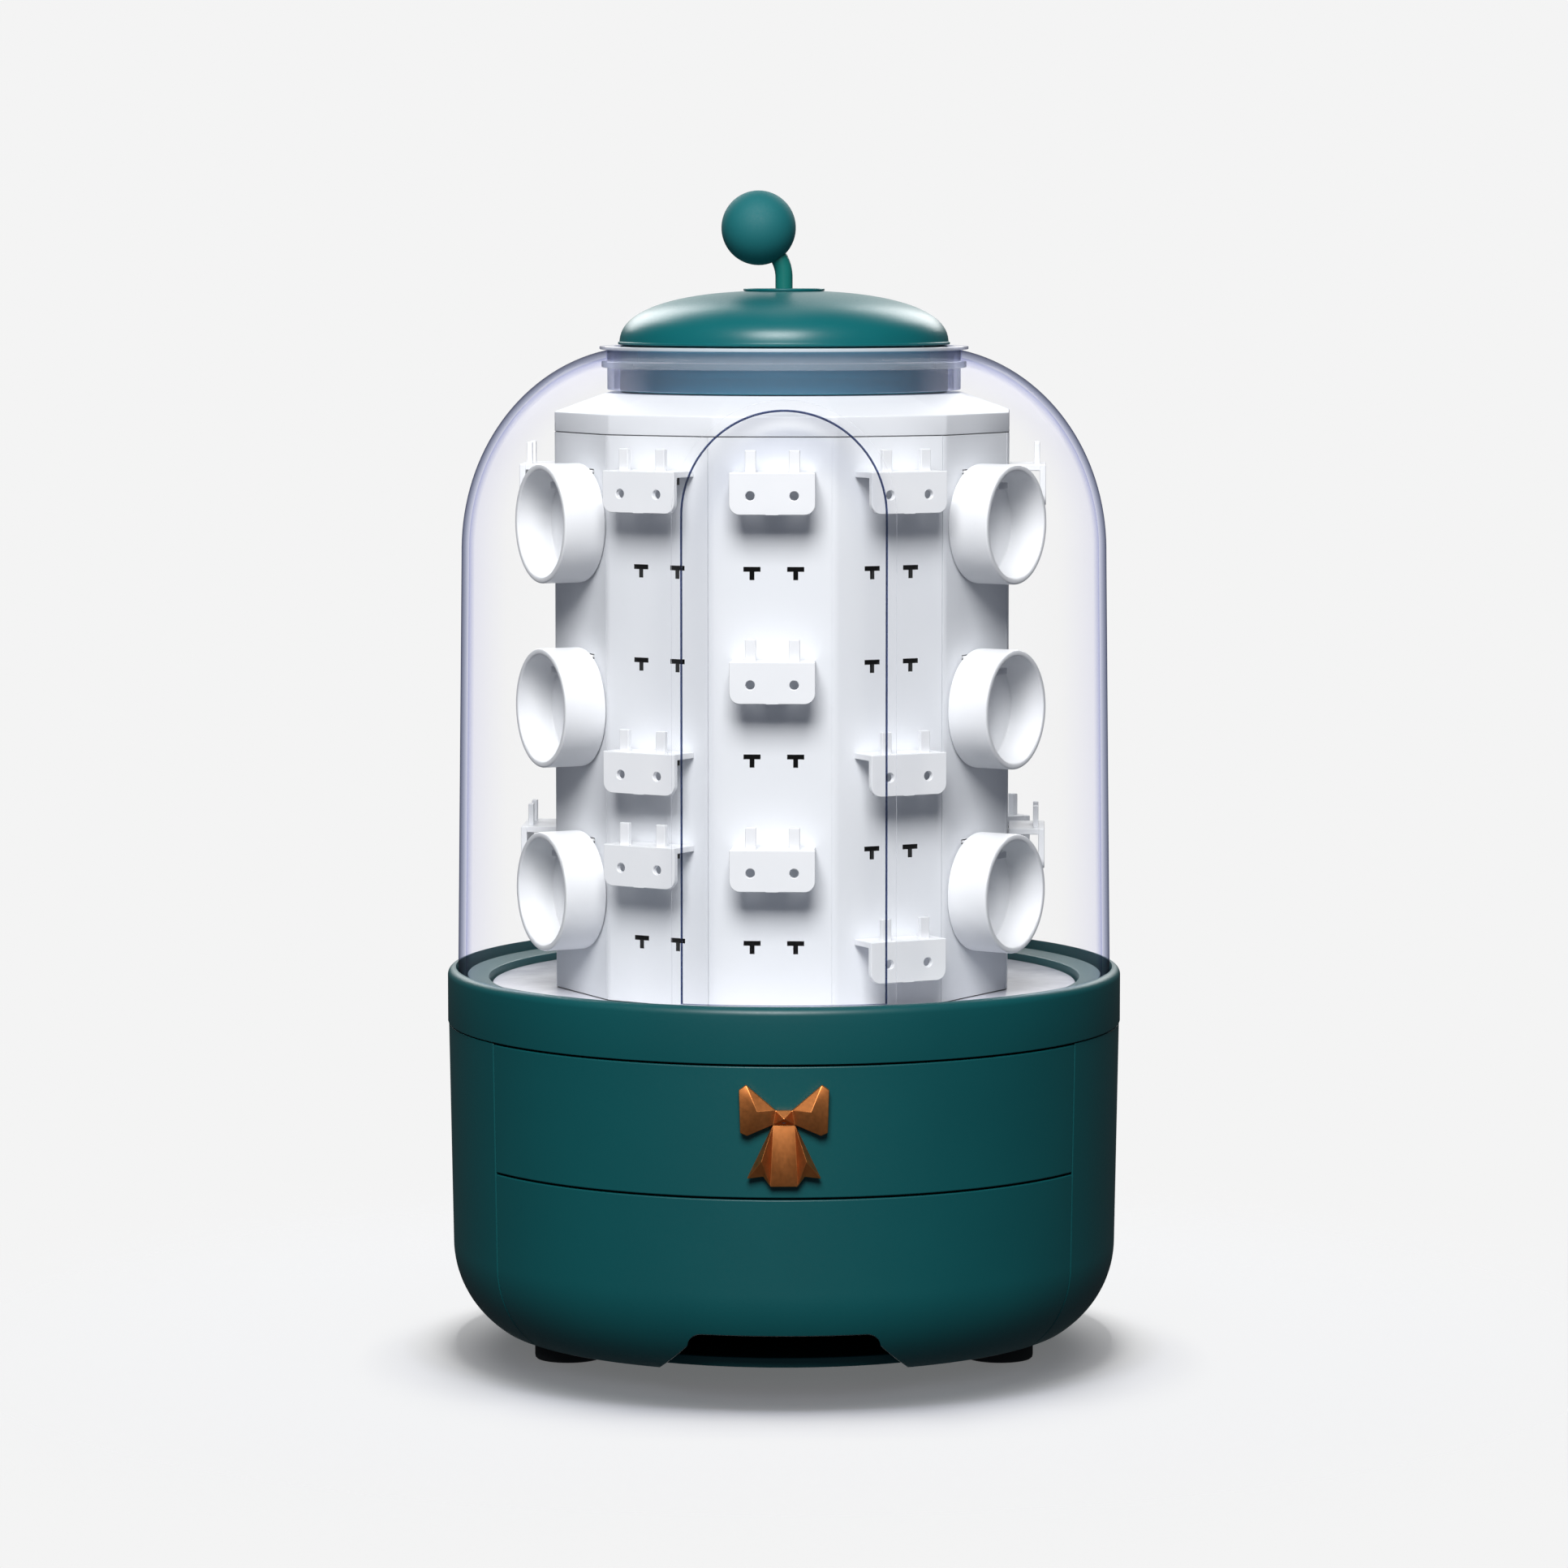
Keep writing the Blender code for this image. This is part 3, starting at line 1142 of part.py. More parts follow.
def make_lower_drawer():
    high = DRAWER_SEAM - FRONT_GAP
    inner = list(reversed(base_wall(high, BASE_BOTTOM, FRONT_WALL)))
    outline = [*base_wall(high, BASE_BOTTOM), *inner]
    front = turned("lower_drawer_front", outline, ring=True)
    guide = front_sector("lower_front_outline", 0, BASE_BOTTOM - OVERRUN, high + OVERRUN, FRONT_GAP)
    add_boolean(front, guide, "INTERSECT")
    top = NOTCH_TOP_WIDTH / 2
    foot = NOTCH_BOTTOM_WIDTH / 2
    corner = NOTCH_CORNER_RADIUS
    lean = (foot - top) / (NOTCH_TOP - BASE_BOTTOM)
    right = [(foot + lean * OVERRUN, BASE_BOTTOM - OVERRUN)]
    for step in range(NOTCH_CORNER_STEPS + 1):
        angle = math.pi / 2 * step / NOTCH_CORNER_STEPS
        right.append((top - corner * (1 - math.cos(angle)), NOTCH_TOP - corner * (1 - math.sin(angle))))
    left = [(-x, z) for x, z in reversed(right)]
    notch = plate("notch_cutter", [right + left], RING_RADIUS, upright=True)
    notch.data.transform(Matrix.Translation((0, -RING_RADIUS, 0)))
    add_boolean(front, as_cutter(notch), "DIFFERENCE")
    tray_radius = (base_radius(LOWER_TRAY_BOTTOM, FRONT_WALL) - FIT) * math.cos(math.pi / LARGE_STEPS)
    height = LOWER_TRAY_BOTTOM + LOWER_SCREW_RISE
    spacing = LOWER_SCREW_HALF_SPACING
    head_face = -math.sqrt((tray_radius - TRAY_WALL) ** 2 - (spacing + SCREW_HEAD_RADIUS) ** 2) + 2 * FIT
    panel_back = -math.sqrt(base_radius(height, FRONT_WALL) ** 2 - spacing**2)
    length = head_face - panel_back + FRONT_SCREW_DEPTH
    forward = Matrix.Rotation(math.radians(90), 4, "X")
    starts = [(side * spacing, head_face + OVERRUN, height) for side in (-1, 1)]
    hole_length = length + OVERRUN + FIT
    holes = rods("front_hole_cutter", starts, SCREW_RADIUS + FIT, hole_length, SCREW_SIDES, forward)
    as_cutter(holes)
    add_boolean(front, holes, "DIFFERENCE")
    as_part(front, LOWER_DRAWER, "teal_plastic")
    make_tray("lower_drawer_tray", tray_radius, LOWER_TRAY_BOTTOM, LOWER_TRAY_HEIGHT, LOWER_DRAWER, holes)
    for name, side in (("front_screw_left", -1), ("front_screw_right", 1)):
        make_screw(name, (side * spacing, head_face, height), length, LOWER_DRAWER)


make_feet()
make_base_shell()
make_partition_and_deck()
make_runners()
make_top_ring()
make_pivot()
make_bearing()
make_turntable()
make_column_body()
make_column_cap()
make_fittings()
make_dome()
make_door()
make_knob(make_lid(make_collar()))
make_upper_drawer()
make_lower_drawer()
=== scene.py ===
"""A rotating jewellery box: a drum base with two drawers, a clear dome and a turning column."""

import math

import bmesh
import bpy
import numpy as np
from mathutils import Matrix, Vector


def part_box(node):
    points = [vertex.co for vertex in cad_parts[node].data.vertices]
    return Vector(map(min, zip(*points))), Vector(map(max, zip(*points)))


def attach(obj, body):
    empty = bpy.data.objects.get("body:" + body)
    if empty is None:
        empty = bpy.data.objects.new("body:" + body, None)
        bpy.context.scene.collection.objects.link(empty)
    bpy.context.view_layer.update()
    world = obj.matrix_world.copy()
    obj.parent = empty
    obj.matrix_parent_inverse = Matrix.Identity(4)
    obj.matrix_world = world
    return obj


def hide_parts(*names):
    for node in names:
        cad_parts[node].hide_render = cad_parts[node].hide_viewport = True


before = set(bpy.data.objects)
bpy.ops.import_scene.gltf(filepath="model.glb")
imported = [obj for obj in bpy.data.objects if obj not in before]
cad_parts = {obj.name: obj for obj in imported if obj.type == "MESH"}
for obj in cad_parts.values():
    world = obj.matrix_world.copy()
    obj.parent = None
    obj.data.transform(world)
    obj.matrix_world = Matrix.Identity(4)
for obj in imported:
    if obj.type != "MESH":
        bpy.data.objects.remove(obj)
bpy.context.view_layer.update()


# Rubber feet.
# Four round pads of moulded nitrile rubber, pressed on pins under the base. Their edge is rolled
# and their sole is flat.
FOOT_COUNT = 4
FOOT_EDGE = 0.0011
FOOT_STEPS = 40
RUBBER = "#14181a"
RUBBER_WORN = "#1f2426"
SEAM = 1e-6
SHARP_ANGLE = math.radians(32)
BEVEL_STEPS = 2
ARC_STEPS = 3
CUT_SHARE = 0.45
CLOUD_DETAIL = 3
GRAIN_DETAIL = 2
GLOSS_SPREAD = 0.15


def linear(code):
    """The linear colour of an sRGB code: c / 12.92 near black, else ((c + 0.055) / 1.055)^2.4."""
    shares = [int(code[place : place + 2], 16) / 255 for place in (1, 3, 5)]
    return (*(s / 12.92 if s <= 0.04045 else ((s + 0.055) / 1.055) ** 2.4 for s in shares), 1)


def empty_tree(kind, name):
    """A new material or world, from the list of its kind, and its emptied node tree."""
    block = kind.new(name)
    block.use_nodes = True
    block.node_tree.nodes.clear()
    return block, block.node_tree


def add(tree, kind, inputs=(), **settings):
    """Adds a shader node with its settings.

    inputs maps each socket to a value, a colour's hex value, an output or a node's first output."""
    node = tree.nodes.new(f"ShaderNode{kind}")
    for name, value in settings.items():
        setattr(node, name, value)
    for socket, value in dict(inputs).items():
        if isinstance(value, str):
            value = linear(value)
        if isinstance(value, bpy.types.Node):
            value = value.outputs[0]
        if isinstance(value, bpy.types.NodeSocket):
            tree.links.new(value, node.inputs[socket])
        else:
            node.inputs[socket].default_value = value
    return node


def moulded(name, low, high, roughness, grain=0.0007, relief=1e-5, drift=0.03, metal=0):
    """An even surface: its colour drifts between low and high, and a grain breaks its gloss.

    In metres: the grain's width, its relief, and drift, the width of the colour's clouds."""
    material, tree = empty_tree(bpy.data.materials, name)
    place = add(tree, "TexCoord").outputs["Object"]
    cloud = add(tree, "TexNoise", {"Vector": place, "Scale": 1 / drift, "Detail": CLOUD_DETAIL})
    colour = add(tree, "Mix", {0: cloud, 6: low, 7: high}, data_type="RGBA").outputs[2]
    fine = add(tree, "TexNoise", {"Vector": place, "Scale": 1 / grain, "Detail": GRAIN_DETAIL})
    smooth, dull = (1 - GLOSS_SPREAD) * roughness, (1 + GLOSS_SPREAD) * roughness
    gloss = add(tree, "MapRange", {"Value": fine, "To Min": smooth, "To Max": dull})
    bump = add(tree, "Bump", {"Height": fine, "Distance": relief})
    values = {"Base Color": colour, "Roughness": gloss, "Normal": bump, "Metallic": metal}
    shader = add(tree, "BsdfPrincipled", values)
    add(tree, "OutputMaterial", {"Surface": shader})
    return material


def patch(points, close_columns=False, close_rows=False):
    """Quads over a grid of points (rows, columns, 3), joined round where asked."""
    index = np.arange(points.shape[0] * points.shape[1]).reshape(points.shape[:2])
    if close_rows:
        index = np.concatenate([index, index[:1]])
    if close_columns:
        index = np.concatenate([index, index[:, :1]], 1)
    corners = (index[:-1, :-1], index[:-1, 1:], index[1:, 1:], index[1:, :-1])
    return points.reshape(-1, 3), np.stack(corners, -1).reshape(-1, 4)


def polar(radius, angle, height):
    """Points at x = r sin a, y = -r cos a: the angle is 0 at the front and grows towards +X."""
    radius, angle, height = np.broadcast_arrays(radius, angle, height)
    return np.stack([radius * np.sin(angle), -radius * np.cos(angle), height], -1)


def rounded(outline, fillet, ring=False):
    """The outline with each corner cut back by up to fillet and bridged by a quadratic arc,
    (1 - t)^2 start + 2 t (1 - t) corner + t^2 end."""
    corners = np.array(outline, float)
    sides = np.stack([np.roll(corners, 1, 0), np.roll(corners, -1, 0)]) - corners
    reach = np.linalg.norm(sides, axis=2)[..., None]
    cut = np.minimum(fillet, reach.min(0) * CUT_SHARE)
    start, end = corners + sides / reach * cut
    share = np.linspace(0, 1, ARC_STEPS + 1)[None, :, None]
    arcs = (1 - share) ** 2 * start[:, None] + share**2 * end[:, None]
    arcs = arcs + 2 * share * (1 - share) * corners[:, None]
    if ring:
        return arcs.reshape(-1, 2)
    return np.concatenate([corners[:1], arcs[1:-1].reshape(-1, 2), corners[-1:]])


def turned(outline, steps, ring=False):
    """The outline of (radius, height) turned about Z; a ring's outline is joined to its start."""
    outline = np.asarray(outline, float)
    angle = np.linspace(0, 2 * math.pi, steps, endpoint=False)
    return patch(polar(outline[:, :1], angle, outline[:, 1:]), True, ring)


def placed(name, data):
    """A new object in the scene."""
    obj = bpy.data.objects.new(name, data)
    bpy.context.scene.collection.objects.link(obj)
    return obj


def piece(name, groups, body, node, bevel=0, rim=-1):
    """One surface from groups of patches, each with its material, merged and facing outwards.

    Edges sharper than SHARP_ANGLE are creases, which bevel rounds in the material of group rim."""
    points, faces, materials = [], [], []
    for number, (patches, _) in enumerate(groups):
        for patch_points, patch_faces in patches:
            first = len(points)
            points.extend(patch_points.tolist())
            faces.extend((patch_faces + first).tolist())
            materials.extend([number] * len(patch_faces))
    mesh = bpy.data.meshes.new(name)
    mesh.from_pydata(points, [], faces)
    mesh.polygons.foreach_set("material_index", materials)
    mesh.shade_smooth()
    shape = bmesh.new()
    shape.from_mesh(mesh)
    bmesh.ops.remove_doubles(shape, verts=shape.verts, dist=SEAM)
    bmesh.ops.recalc_face_normals(shape, faces=shape.faces)
    for edge in shape.edges:
        edge.smooth = edge.calc_face_angle(math.pi) < SHARP_ANGLE
    shape.to_mesh(mesh)
    shape.free()
    for _, material in groups:
        mesh.materials.append(material)
    obj = placed(name, mesh)
    if bevel:
        edges = obj.modifiers.new("edges", "BEVEL")
        edges.width = bevel
        edges.segments = BEVEL_STEPS
        edges.limit_method = "ANGLE"
        edges.angle_limit = SHARP_ANGLE
        edges.harden_normals = True
        edges.material = rim
    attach(obj, body)
    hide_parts(node)
    return obj


# Nitrile rubber, compression moulded: a deep matte black that greys where it is rubbed.
rubber = moulded(
    "moulded_nitrile_rubber", RUBBER, RUBBER_WORN, 0.7, grain=0.0006, relief=2e-5, drift=0.006
)
for number in range(1, FOOT_COUNT + 1):
    node = f"rubber_foot_{number}"
    low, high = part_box(node)
    radius = (high.x - low.x) / 2
    outline = rounded([(0, low.z), (radius, low.z), (radius, high.z), (0, high.z)], FOOT_EDGE)
    points, faces = turned(outline, FOOT_STEPS)
    points = points + np.array([(low.x + high.x) / 2, (low.y + high.y) / 2, 0])
    piece(f"foot_{number}", [([(points, faces)], rubber)], "base", node)


# Base shell.
# The drum of the base, one injection moulding in teal ABS: a drafted wall on a big bottom radius,
# open at the front for the drawers, with a floor and two ledges inside for the plates.
BASE_LOW, BASE_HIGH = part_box("base_shell")
BASE_RADIUS = BASE_HIGH.x
BASE_DRAFT = 0.0011
BASE_CORNER = 0.030
BASE_WALL = 0.003
BASE_FLOOR = 0.003
FLOOR_SETBACK = 0.007
LEDGE_REACH = 0.0028
LEDGE_HEIGHT = 0.0025
DRAWER_HALF_ANGLE = math.radians(57.5)
FIT = 0.0003
BASE_STEPS = 120
FRONT_STEPS = 56
CORNER_STEPS = 18
EDGE = 0.0004
TEAL = "#044b4f"
TEAL_LIGHT = "#065457"
FLOOR_RINGS = 6
LOW_RADIUS = BASE_RADIUS - BASE_DRAFT
CORNER_CENTRE = LOW_RADIUS - BASE_CORNER


def base_radius(height, inset=0.0):
    """The base wall's radius: a straight draft above the bottom radius R, and below it an arc,
    centre + sqrt(R^2 - drop^2)."""
    height = np.asarray(height, float)
    share = (height - BASE_CORNER) / (BASE_HIGH.z - BASE_CORNER)
    side = LOW_RADIUS + share * BASE_DRAFT - inset
    drop = np.clip(BASE_CORNER - height, 0, BASE_CORNER - inset)
    arc = CORNER_CENTRE + np.sqrt((BASE_CORNER - inset) ** 2 - drop**2)
    return np.where(height >= BASE_CORNER, side, arc)


def base_heights(high, low):
    """Heights down the wall from high to low, close together round the bottom radius."""
    turn = np.linspace(0, math.asin((BASE_CORNER - low) / BASE_CORNER), CORNER_STEPS)
    return np.concatenate([[high], BASE_CORNER - BASE_CORNER * np.sin(turn)])


def cap(loop):
    """One flat face over a loop of points."""
    return loop, np.arange(len(loop))[None]


# ABS from a spark-eroded mould: an even satin skin in deep teal with a very fine grain. The grain
# is drawn at 0.7 mm, about ten times its real size, so that it shows.
teal_abs = moulded("satin_teal_abs", TEAL, TEAL_LIGHT, 0.42, relief=1.2e-5, drift=0.05)
floor_top = BASE_LOW.z + BASE_FLOOR
ledge_tops = [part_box(node)[0].z - FIT for node in ("drawer_partition", "deck_plate")]
down = base_heights(BASE_HIGH.z, BASE_LOW.z)
up = base_heights(ledge_tops[0] - LEDGE_HEIGHT, floor_top)[::-1]
inner_wall = np.stack([base_radius(up, BASE_WALL), up], -1)
ledges = []
for ledge_top in ledge_tops:
    foot = ledge_top - LEDGE_HEIGHT
    foot_radius, top_radius = base_radius([foot, ledge_top], BASE_WALL)
    ledges += [
        (foot_radius, foot),
        (foot_radius - LEDGE_REACH, foot),
        (foot_radius - LEDGE_REACH, ledge_top),
        (top_radius, ledge_top),
    ]
floor_edge = float(base_radius(BASE_LOW.z)) - FLOOR_SETBACK
inner_top = [(float(base_radius(BASE_HIGH.z, BASE_WALL)), BASE_HIGH.z)]
outer_wall = np.stack([base_radius(down), down], -1)
section = [[(floor_edge, floor_top)], inner_wall[:-1], ledges, inner_top, outer_wall]
section = np.concatenate([*section, [(floor_edge, BASE_LOW.z)]])
behind = np.linspace(DRAWER_HALF_ANGLE, 2 * math.pi - DRAWER_HALF_ANGLE, BASE_STEPS)
ahead = np.linspace(-DRAWER_HALF_ANGLE, DRAWER_HALF_ANGLE, FRONT_STEPS)
wall = polar(section[:, :1], behind, section[:, 1:])
around = np.concatenate([ahead, behind[1:-1]])
rings = np.linspace(0, floor_edge, FLOOR_RINGS)[:, None]
patches = [
    patch(wall),
    cap(wall[:, 0]),
    cap(wall[:, -1]),
    patch(polar(rings, around, floor_top), True),
    patch(polar(rings, around, BASE_LOW.z), True),
    patch(polar(floor_edge, ahead, np.array([[BASE_LOW.z], [floor_top]]))),
]
piece("base_drum", [(patches, teal_abs)], "base", "base_shell", EDGE)


# Partition, deck and drawer runners.
# Pressed in from above and resting on the ledges: two plates cut from dark ABS sheet, and the
# moulded rails that carry the trays. Only seen with a drawer out.
INSIDE = "#0f2c2e"
INSIDE_LIGHT = "#15383a"


def finish(material, *names):
    """Gives CAD nodes that are shown as they are their material."""
    for name in names:
        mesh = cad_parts[name].data
        mesh.materials.clear()
        mesh.materials.append(material)


# Dark ABS, moulded and left matt: hidden parts aren't polished.
dark_abs = moulded("matt_dark_abs", INSIDE, INSIDE_LIGHT, 0.5, relief=1.5e-5)
finish(dark_abs, "drawer_partition", "deck_plate", "lower_drawer_runner", "upper_drawer_runner")


# Drawer fronts.
# Two bowed panels in the same teal ABS that follow the drum's wall, screwed to their trays. The
# lower one goes on round the bottom radius and has a finger notch in its foot.
FRONT_WALL = 0.003
FRONT_GAP = 0.0003
NOTCH_TOP_HALF = 0.0275
NOTCH_FOOT_HALF = 0.0355
NOTCH_CORNER = 0.004
NOTCH_DROP = 0.0028
NOTCH_STEPS = 7
NOTCH_COLUMNS = 12
SIDE_COLUMNS = 22
FRONT_ROWS = 40
SIDE_ANGLE = DRAWER_HALF_ANGLE - FRONT_GAP / BASE_RADIUS


def drawer_front(level, outer_angle, inner_angle, top, bottom):
    """Two skins a wall apart, from the top down to each column's own bottom, with their edges."""
    share = np.linspace(0, 1, FRONT_ROWS)[:, None]
    height = top + (bottom - top) * share
    outer = polar(base_radius(height), outer_angle, height)
    inner = polar(base_radius(height, FRONT_WALL), inner_angle, height)
    panel = np.concatenate([outer, inner[::-1]])
    patches = [patch(panel, close_rows=True), cap(panel[:, 0]), cap(panel[:, -1])]
    body, node = f"{level}_drawer", f"{level}_drawer_front"
    piece(f"{level}_front", [(patches, teal_abs)], body, node, EDGE)


upper_low, upper_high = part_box("upper_drawer_front")
columns = np.linspace(-SIDE_ANGLE, SIDE_ANGLE, FRONT_STEPS + 1)
bottom = np.full_like(columns, upper_low.z)
drawer_front("upper", columns, columns, upper_high.z, bottom)

lower_low, lower_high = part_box("lower_drawer_front")
notch_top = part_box("lower_drawer_tray")[0].z - NOTCH_DROP
turn = np.linspace(0, math.pi / 2, NOTCH_STEPS)
corner = NOTCH_CORNER * (1 - np.stack([np.cos(turn), np.sin(turn)], -1))
corner = np.array([NOTCH_TOP_HALF, notch_top]) - corner
across = np.linspace(corner[-1], [0, notch_top], NOTCH_COLUMNS)[1:]
slope = np.linspace([NOTCH_FOOT_HALF, lower_low.z], corner[0], NOTCH_STEPS)[:-1]
notch_x, notch_z = np.concatenate([slope, corner, across]).T
beside = np.linspace(1, 0, SIDE_COLUMNS)[:-1]


def half_columns(inset):
    """Column angles from the side to the middle: even beside the notch, then its outline."""
    outline = np.arcsin(notch_x / base_radius(notch_z, inset))
    return np.concatenate([outline[0] + (SIDE_ANGLE - outline[0]) * beside, outline])


def both_sides(half, sign):
    """The right half's columns mirrored to the left, the middle one once."""
    return np.concatenate([half, sign * half[-2::-1]])


outer, inner = (both_sides(half_columns(inset), -1) for inset in (0, FRONT_WALL))
bottom = both_sides(np.concatenate([np.full(len(beside), lower_low.z), notch_z]), 1)
drawer_front("lower", outer, inner, lower_high.z, bottom)


# Drawer trays and their screws.
# Two open trays moulded in dark ABS, with a round front, each screwed to its panel from inside.
# The screws are zinc-plated steel.
TRAY_WALL = 0.002
TRAY_EDGE = 0.0005
ZINC = "#a9adb0"
ZINC_SHADE = "#8b8f94"


def tray_loop(front_radius, half, back):
    """The tray seen from above, as points: a straight back and sides, and a round front."""
    side = math.asin(half / front_radius)
    front = np.linspace(side, -side, FRONT_STEPS)
    arc = polar(front_radius, front, 0)[:, :2]
    return np.concatenate([arc, [(-half, back), (half, back)]])


def raised(loop, height):
    """The flat loop at a height."""
    return np.column_stack([loop, np.full(len(loop), height)])


for body in ("lower_drawer", "upper_drawer"):
    node = f"{body}_tray"
    low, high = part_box(node)
    outer = tray_loop(-low.y, high.x, high.y)
    inner = tray_loop(-low.y - TRAY_WALL, high.x - TRAY_WALL, high.y - TRAY_WALL)
    floor = low.z + TRAY_WALL
    levels = ((outer, low.z), (outer, high.z), (inner, high.z), (inner, floor))
    sides = [raised(loop, height) for loop, height in levels]
    patches = [patch(np.stack(sides), True), cap(sides[0]), cap(sides[-1])]
    piece(f"{body}_open_tray", [(patches, dark_abs)], body, node, TRAY_EDGE)

# Zinc plate on turned steel: a soft grey shine with faint clouding, no colour of its own.
zinc_steel = moulded(
    "zinc_plated_steel", ZINC, ZINC_SHADE, 0.32, grain=0.0009, relief=4e-6, drift=0.004, metal=1
)
finish(zinc_steel, "front_screw_left", "front_screw_right", "pull_screw_lower", "pull_screw_upper")


# Drawer pull.
# A small ribbon bow cast in zinc alloy and plated with satin copper, held by two screws from
# inside. Flat facets rise from its rim to the middle of each loop and tail.
PULL_LOW, PULL_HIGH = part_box("drawer_pull")
PULL_RIM = 0.35
PULL_EDGE = 0.00022
COPPER = "#f2a060"
COPPER_DEEP = "#dc8446"
# The outline's right half: the loop, then the tail
BOW_HALF = [(0.18, 0.50), (0.84, 1.00), (1.00, 0.90), (0.97, 0.06), (0.82, 0.00), (0.24, 0.22)]
BOW_HALF += [(0.82, -0.84), (0.46, -0.80), (0.30, -1.00)]
# Facet fans: the place and rise of each peak, and the corners of the outline round it
BOW_PEAKS = [((0.60, 0.50), 1.00, (0, 1, 2, 3, 4, 5)), ((0.50, -0.48), 0.85, (5, 6, 7, 8))]
BOW_MIDDLES = [((0, 0.36), 1.00, (0, 5)), ((0, -0.50), 0.70, (5, 8))]


def bow():
    """The bow's outline at its back and its rim, and fans of facets from the rim to each peak."""
    depth = PULL_HIGH.y - PULL_LOW.y
    size = np.array([(PULL_HIGH.x - PULL_LOW.x) / 2, (PULL_HIGH.z - PULL_LOW.z) / 2])
    middle = np.array([0, (PULL_HIGH.z + PULL_LOW.z) / 2])
    right = np.array(BOW_HALF)
    outline = np.concatenate([right, right[::-1] * (-1, 1)]) * size + middle
    count = len(outline)

    def at_depth(places, share):
        places = np.atleast_2d(places)
        y = np.full(len(places), PULL_HIGH.y - share * depth)
        return np.column_stack([places[:, 0], y, places[:, 1]])

    back, rim = at_depth(outline, 0), at_depth(outline, PULL_RIM)
    fans = []
    for place, rise, corners in BOW_PEAKS:
        for sign, ring in ((1, corners), (-1, [count - 1 - corner for corner in corners])):
            fans.append((np.array(place) * (sign, 1), rise, list(ring)))
    for place, rise, (first, last) in BOW_MIDDLES:
        fans.append((np.array(place), rise, [first, last, count - 1 - last, count - 1 - first]))
    patches = [cap(back), patch(np.stack([back, rim]), True)]
    for place, rise, ring in fans:
        peak = at_depth(place * size + middle, PULL_RIM + rise * (1 - PULL_RIM))
        edge = np.arange(len(ring)) + 1
        facets = np.column_stack([np.zeros(len(ring), int), edge, np.roll(edge, -1)])
        patches.append((np.concatenate([peak, rim[ring]]), facets))
    return patches


# Copper plate over brushed zinc: a warm satin sheen, its facets catching light one by one.
copper = moulded(
    "satin_copper_plate", COPPER_DEEP, COPPER, 0.46, grain=0.0012, relief=3e-6, drift=0.01, metal=1
)
piece("bow_pull", [(bow(), copper)], "upper_drawer", "drawer_pull", PULL_EDGE)


# Top ring.
# A loose ring of the same teal ABS that snaps on the drum. Its groove holds the dome's rim, and a
# sloping lip inside the groove runs round the turntable.
RING_LOW, RING_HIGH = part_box("top_ring")
RING_RADIUS = RING_HIGH.x
RING_EDGE = 0.0024
DOME_WALL = 0.0022
GROOVE_CLEARANCE = 0.00065
GROOVE_DEPTH = 0.0075
LIP_WIDTH = 0.0064
LIP_DROP = 0.0022
LIP_SLOPE = 0.0008
SHOULDER_STEPS = 9
RING_STEPS = 160
groove_outer = RING_RADIUS - RING_EDGE
groove_inner = groove_outer - DOME_WALL - 2 * GROOVE_CLEARANCE
ring_bore = groove_inner - LIP_WIDTH
lip_top = RING_HIGH.z - LIP_DROP
turn = np.linspace(0, math.pi / 2, SHOULDER_STEPS)[1:]
shoulder = (1 - np.stack([np.sin(turn), np.cos(turn)], -1)) * RING_EDGE
shoulder = np.array([RING_RADIUS, RING_HIGH.z]) - shoulder
groove_low = RING_HIGH.z - GROOVE_DEPTH
below = [(RING_RADIUS, RING_HIGH.z - 2 * RING_EDGE), (RING_RADIUS, RING_LOW.z)]
below += [(ring_bore, RING_LOW.z), (ring_bore, lip_top - LIP_SLOPE)]
below += [(groove_inner, lip_top), (groove_inner, groove_low)]
groove_side = [(groove_outer, groove_low), (groove_outer, RING_HIGH.z)]
outline = np.concatenate([groove_side, shoulder, rounded(below, EDGE)])
groups = [([turned(outline, RING_STEPS, True)], teal_abs)]
piece("ring", groups, "base", "top_ring")


# Pivot and ball bearing.
# A steel post screwed through the deck holds the turntable down; under the disc two pressed races
# and a cage of ten balls carry it. All are zinc-plated steel, kept as the CAD has them.
finish(zinc_steel, "pivot_post", "pivot_washer", "pivot_screw")
finish(zinc_steel, "bearing_lower_race", "bearing_upper_race", "ball_cage")


# Turntable disc.
# A flat disc moulded in glossy pale grey ABS that turns with the column and catches what falls.
DISC_LOW, DISC_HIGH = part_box("turntable_disc")
DISC_BORE = 0.0043
DISC_PALE = "#f5f5fa"
# Darker clouds: partly pigment, partly painted shadow and reflection
DISC_CLOUD_SHADE = "#aeb0bd"


def hoop(inner, outer, low, high):
    """A round band between two radii and two heights, its edges rounded."""
    corners = [(inner, low), (outer, low), (outer, high), (inner, high)]
    return [turned(rounded(corners, EDGE, ring=True), RING_STEPS, True)]


# Glossy ABS with a cloudy pigment mix: pale lilac grey with soft darker clouds of 10 to 20 mm.
# The clouds are partly that mix and partly painted shadow and reflection on the disc.
disc_abs = moulded(
    "cloudy_shaded_glossy_abs", DISC_CLOUD_SHADE, DISC_PALE, 0.22, grain=0.004, relief=4e-6, drift=0.016
)
groups = [(hoop(DISC_BORE, DISC_HIGH.x, DISC_LOW.z, DISC_HIGH.z), disc_abs)]
piece("disc", groups, "carousel", "turntable_disc")


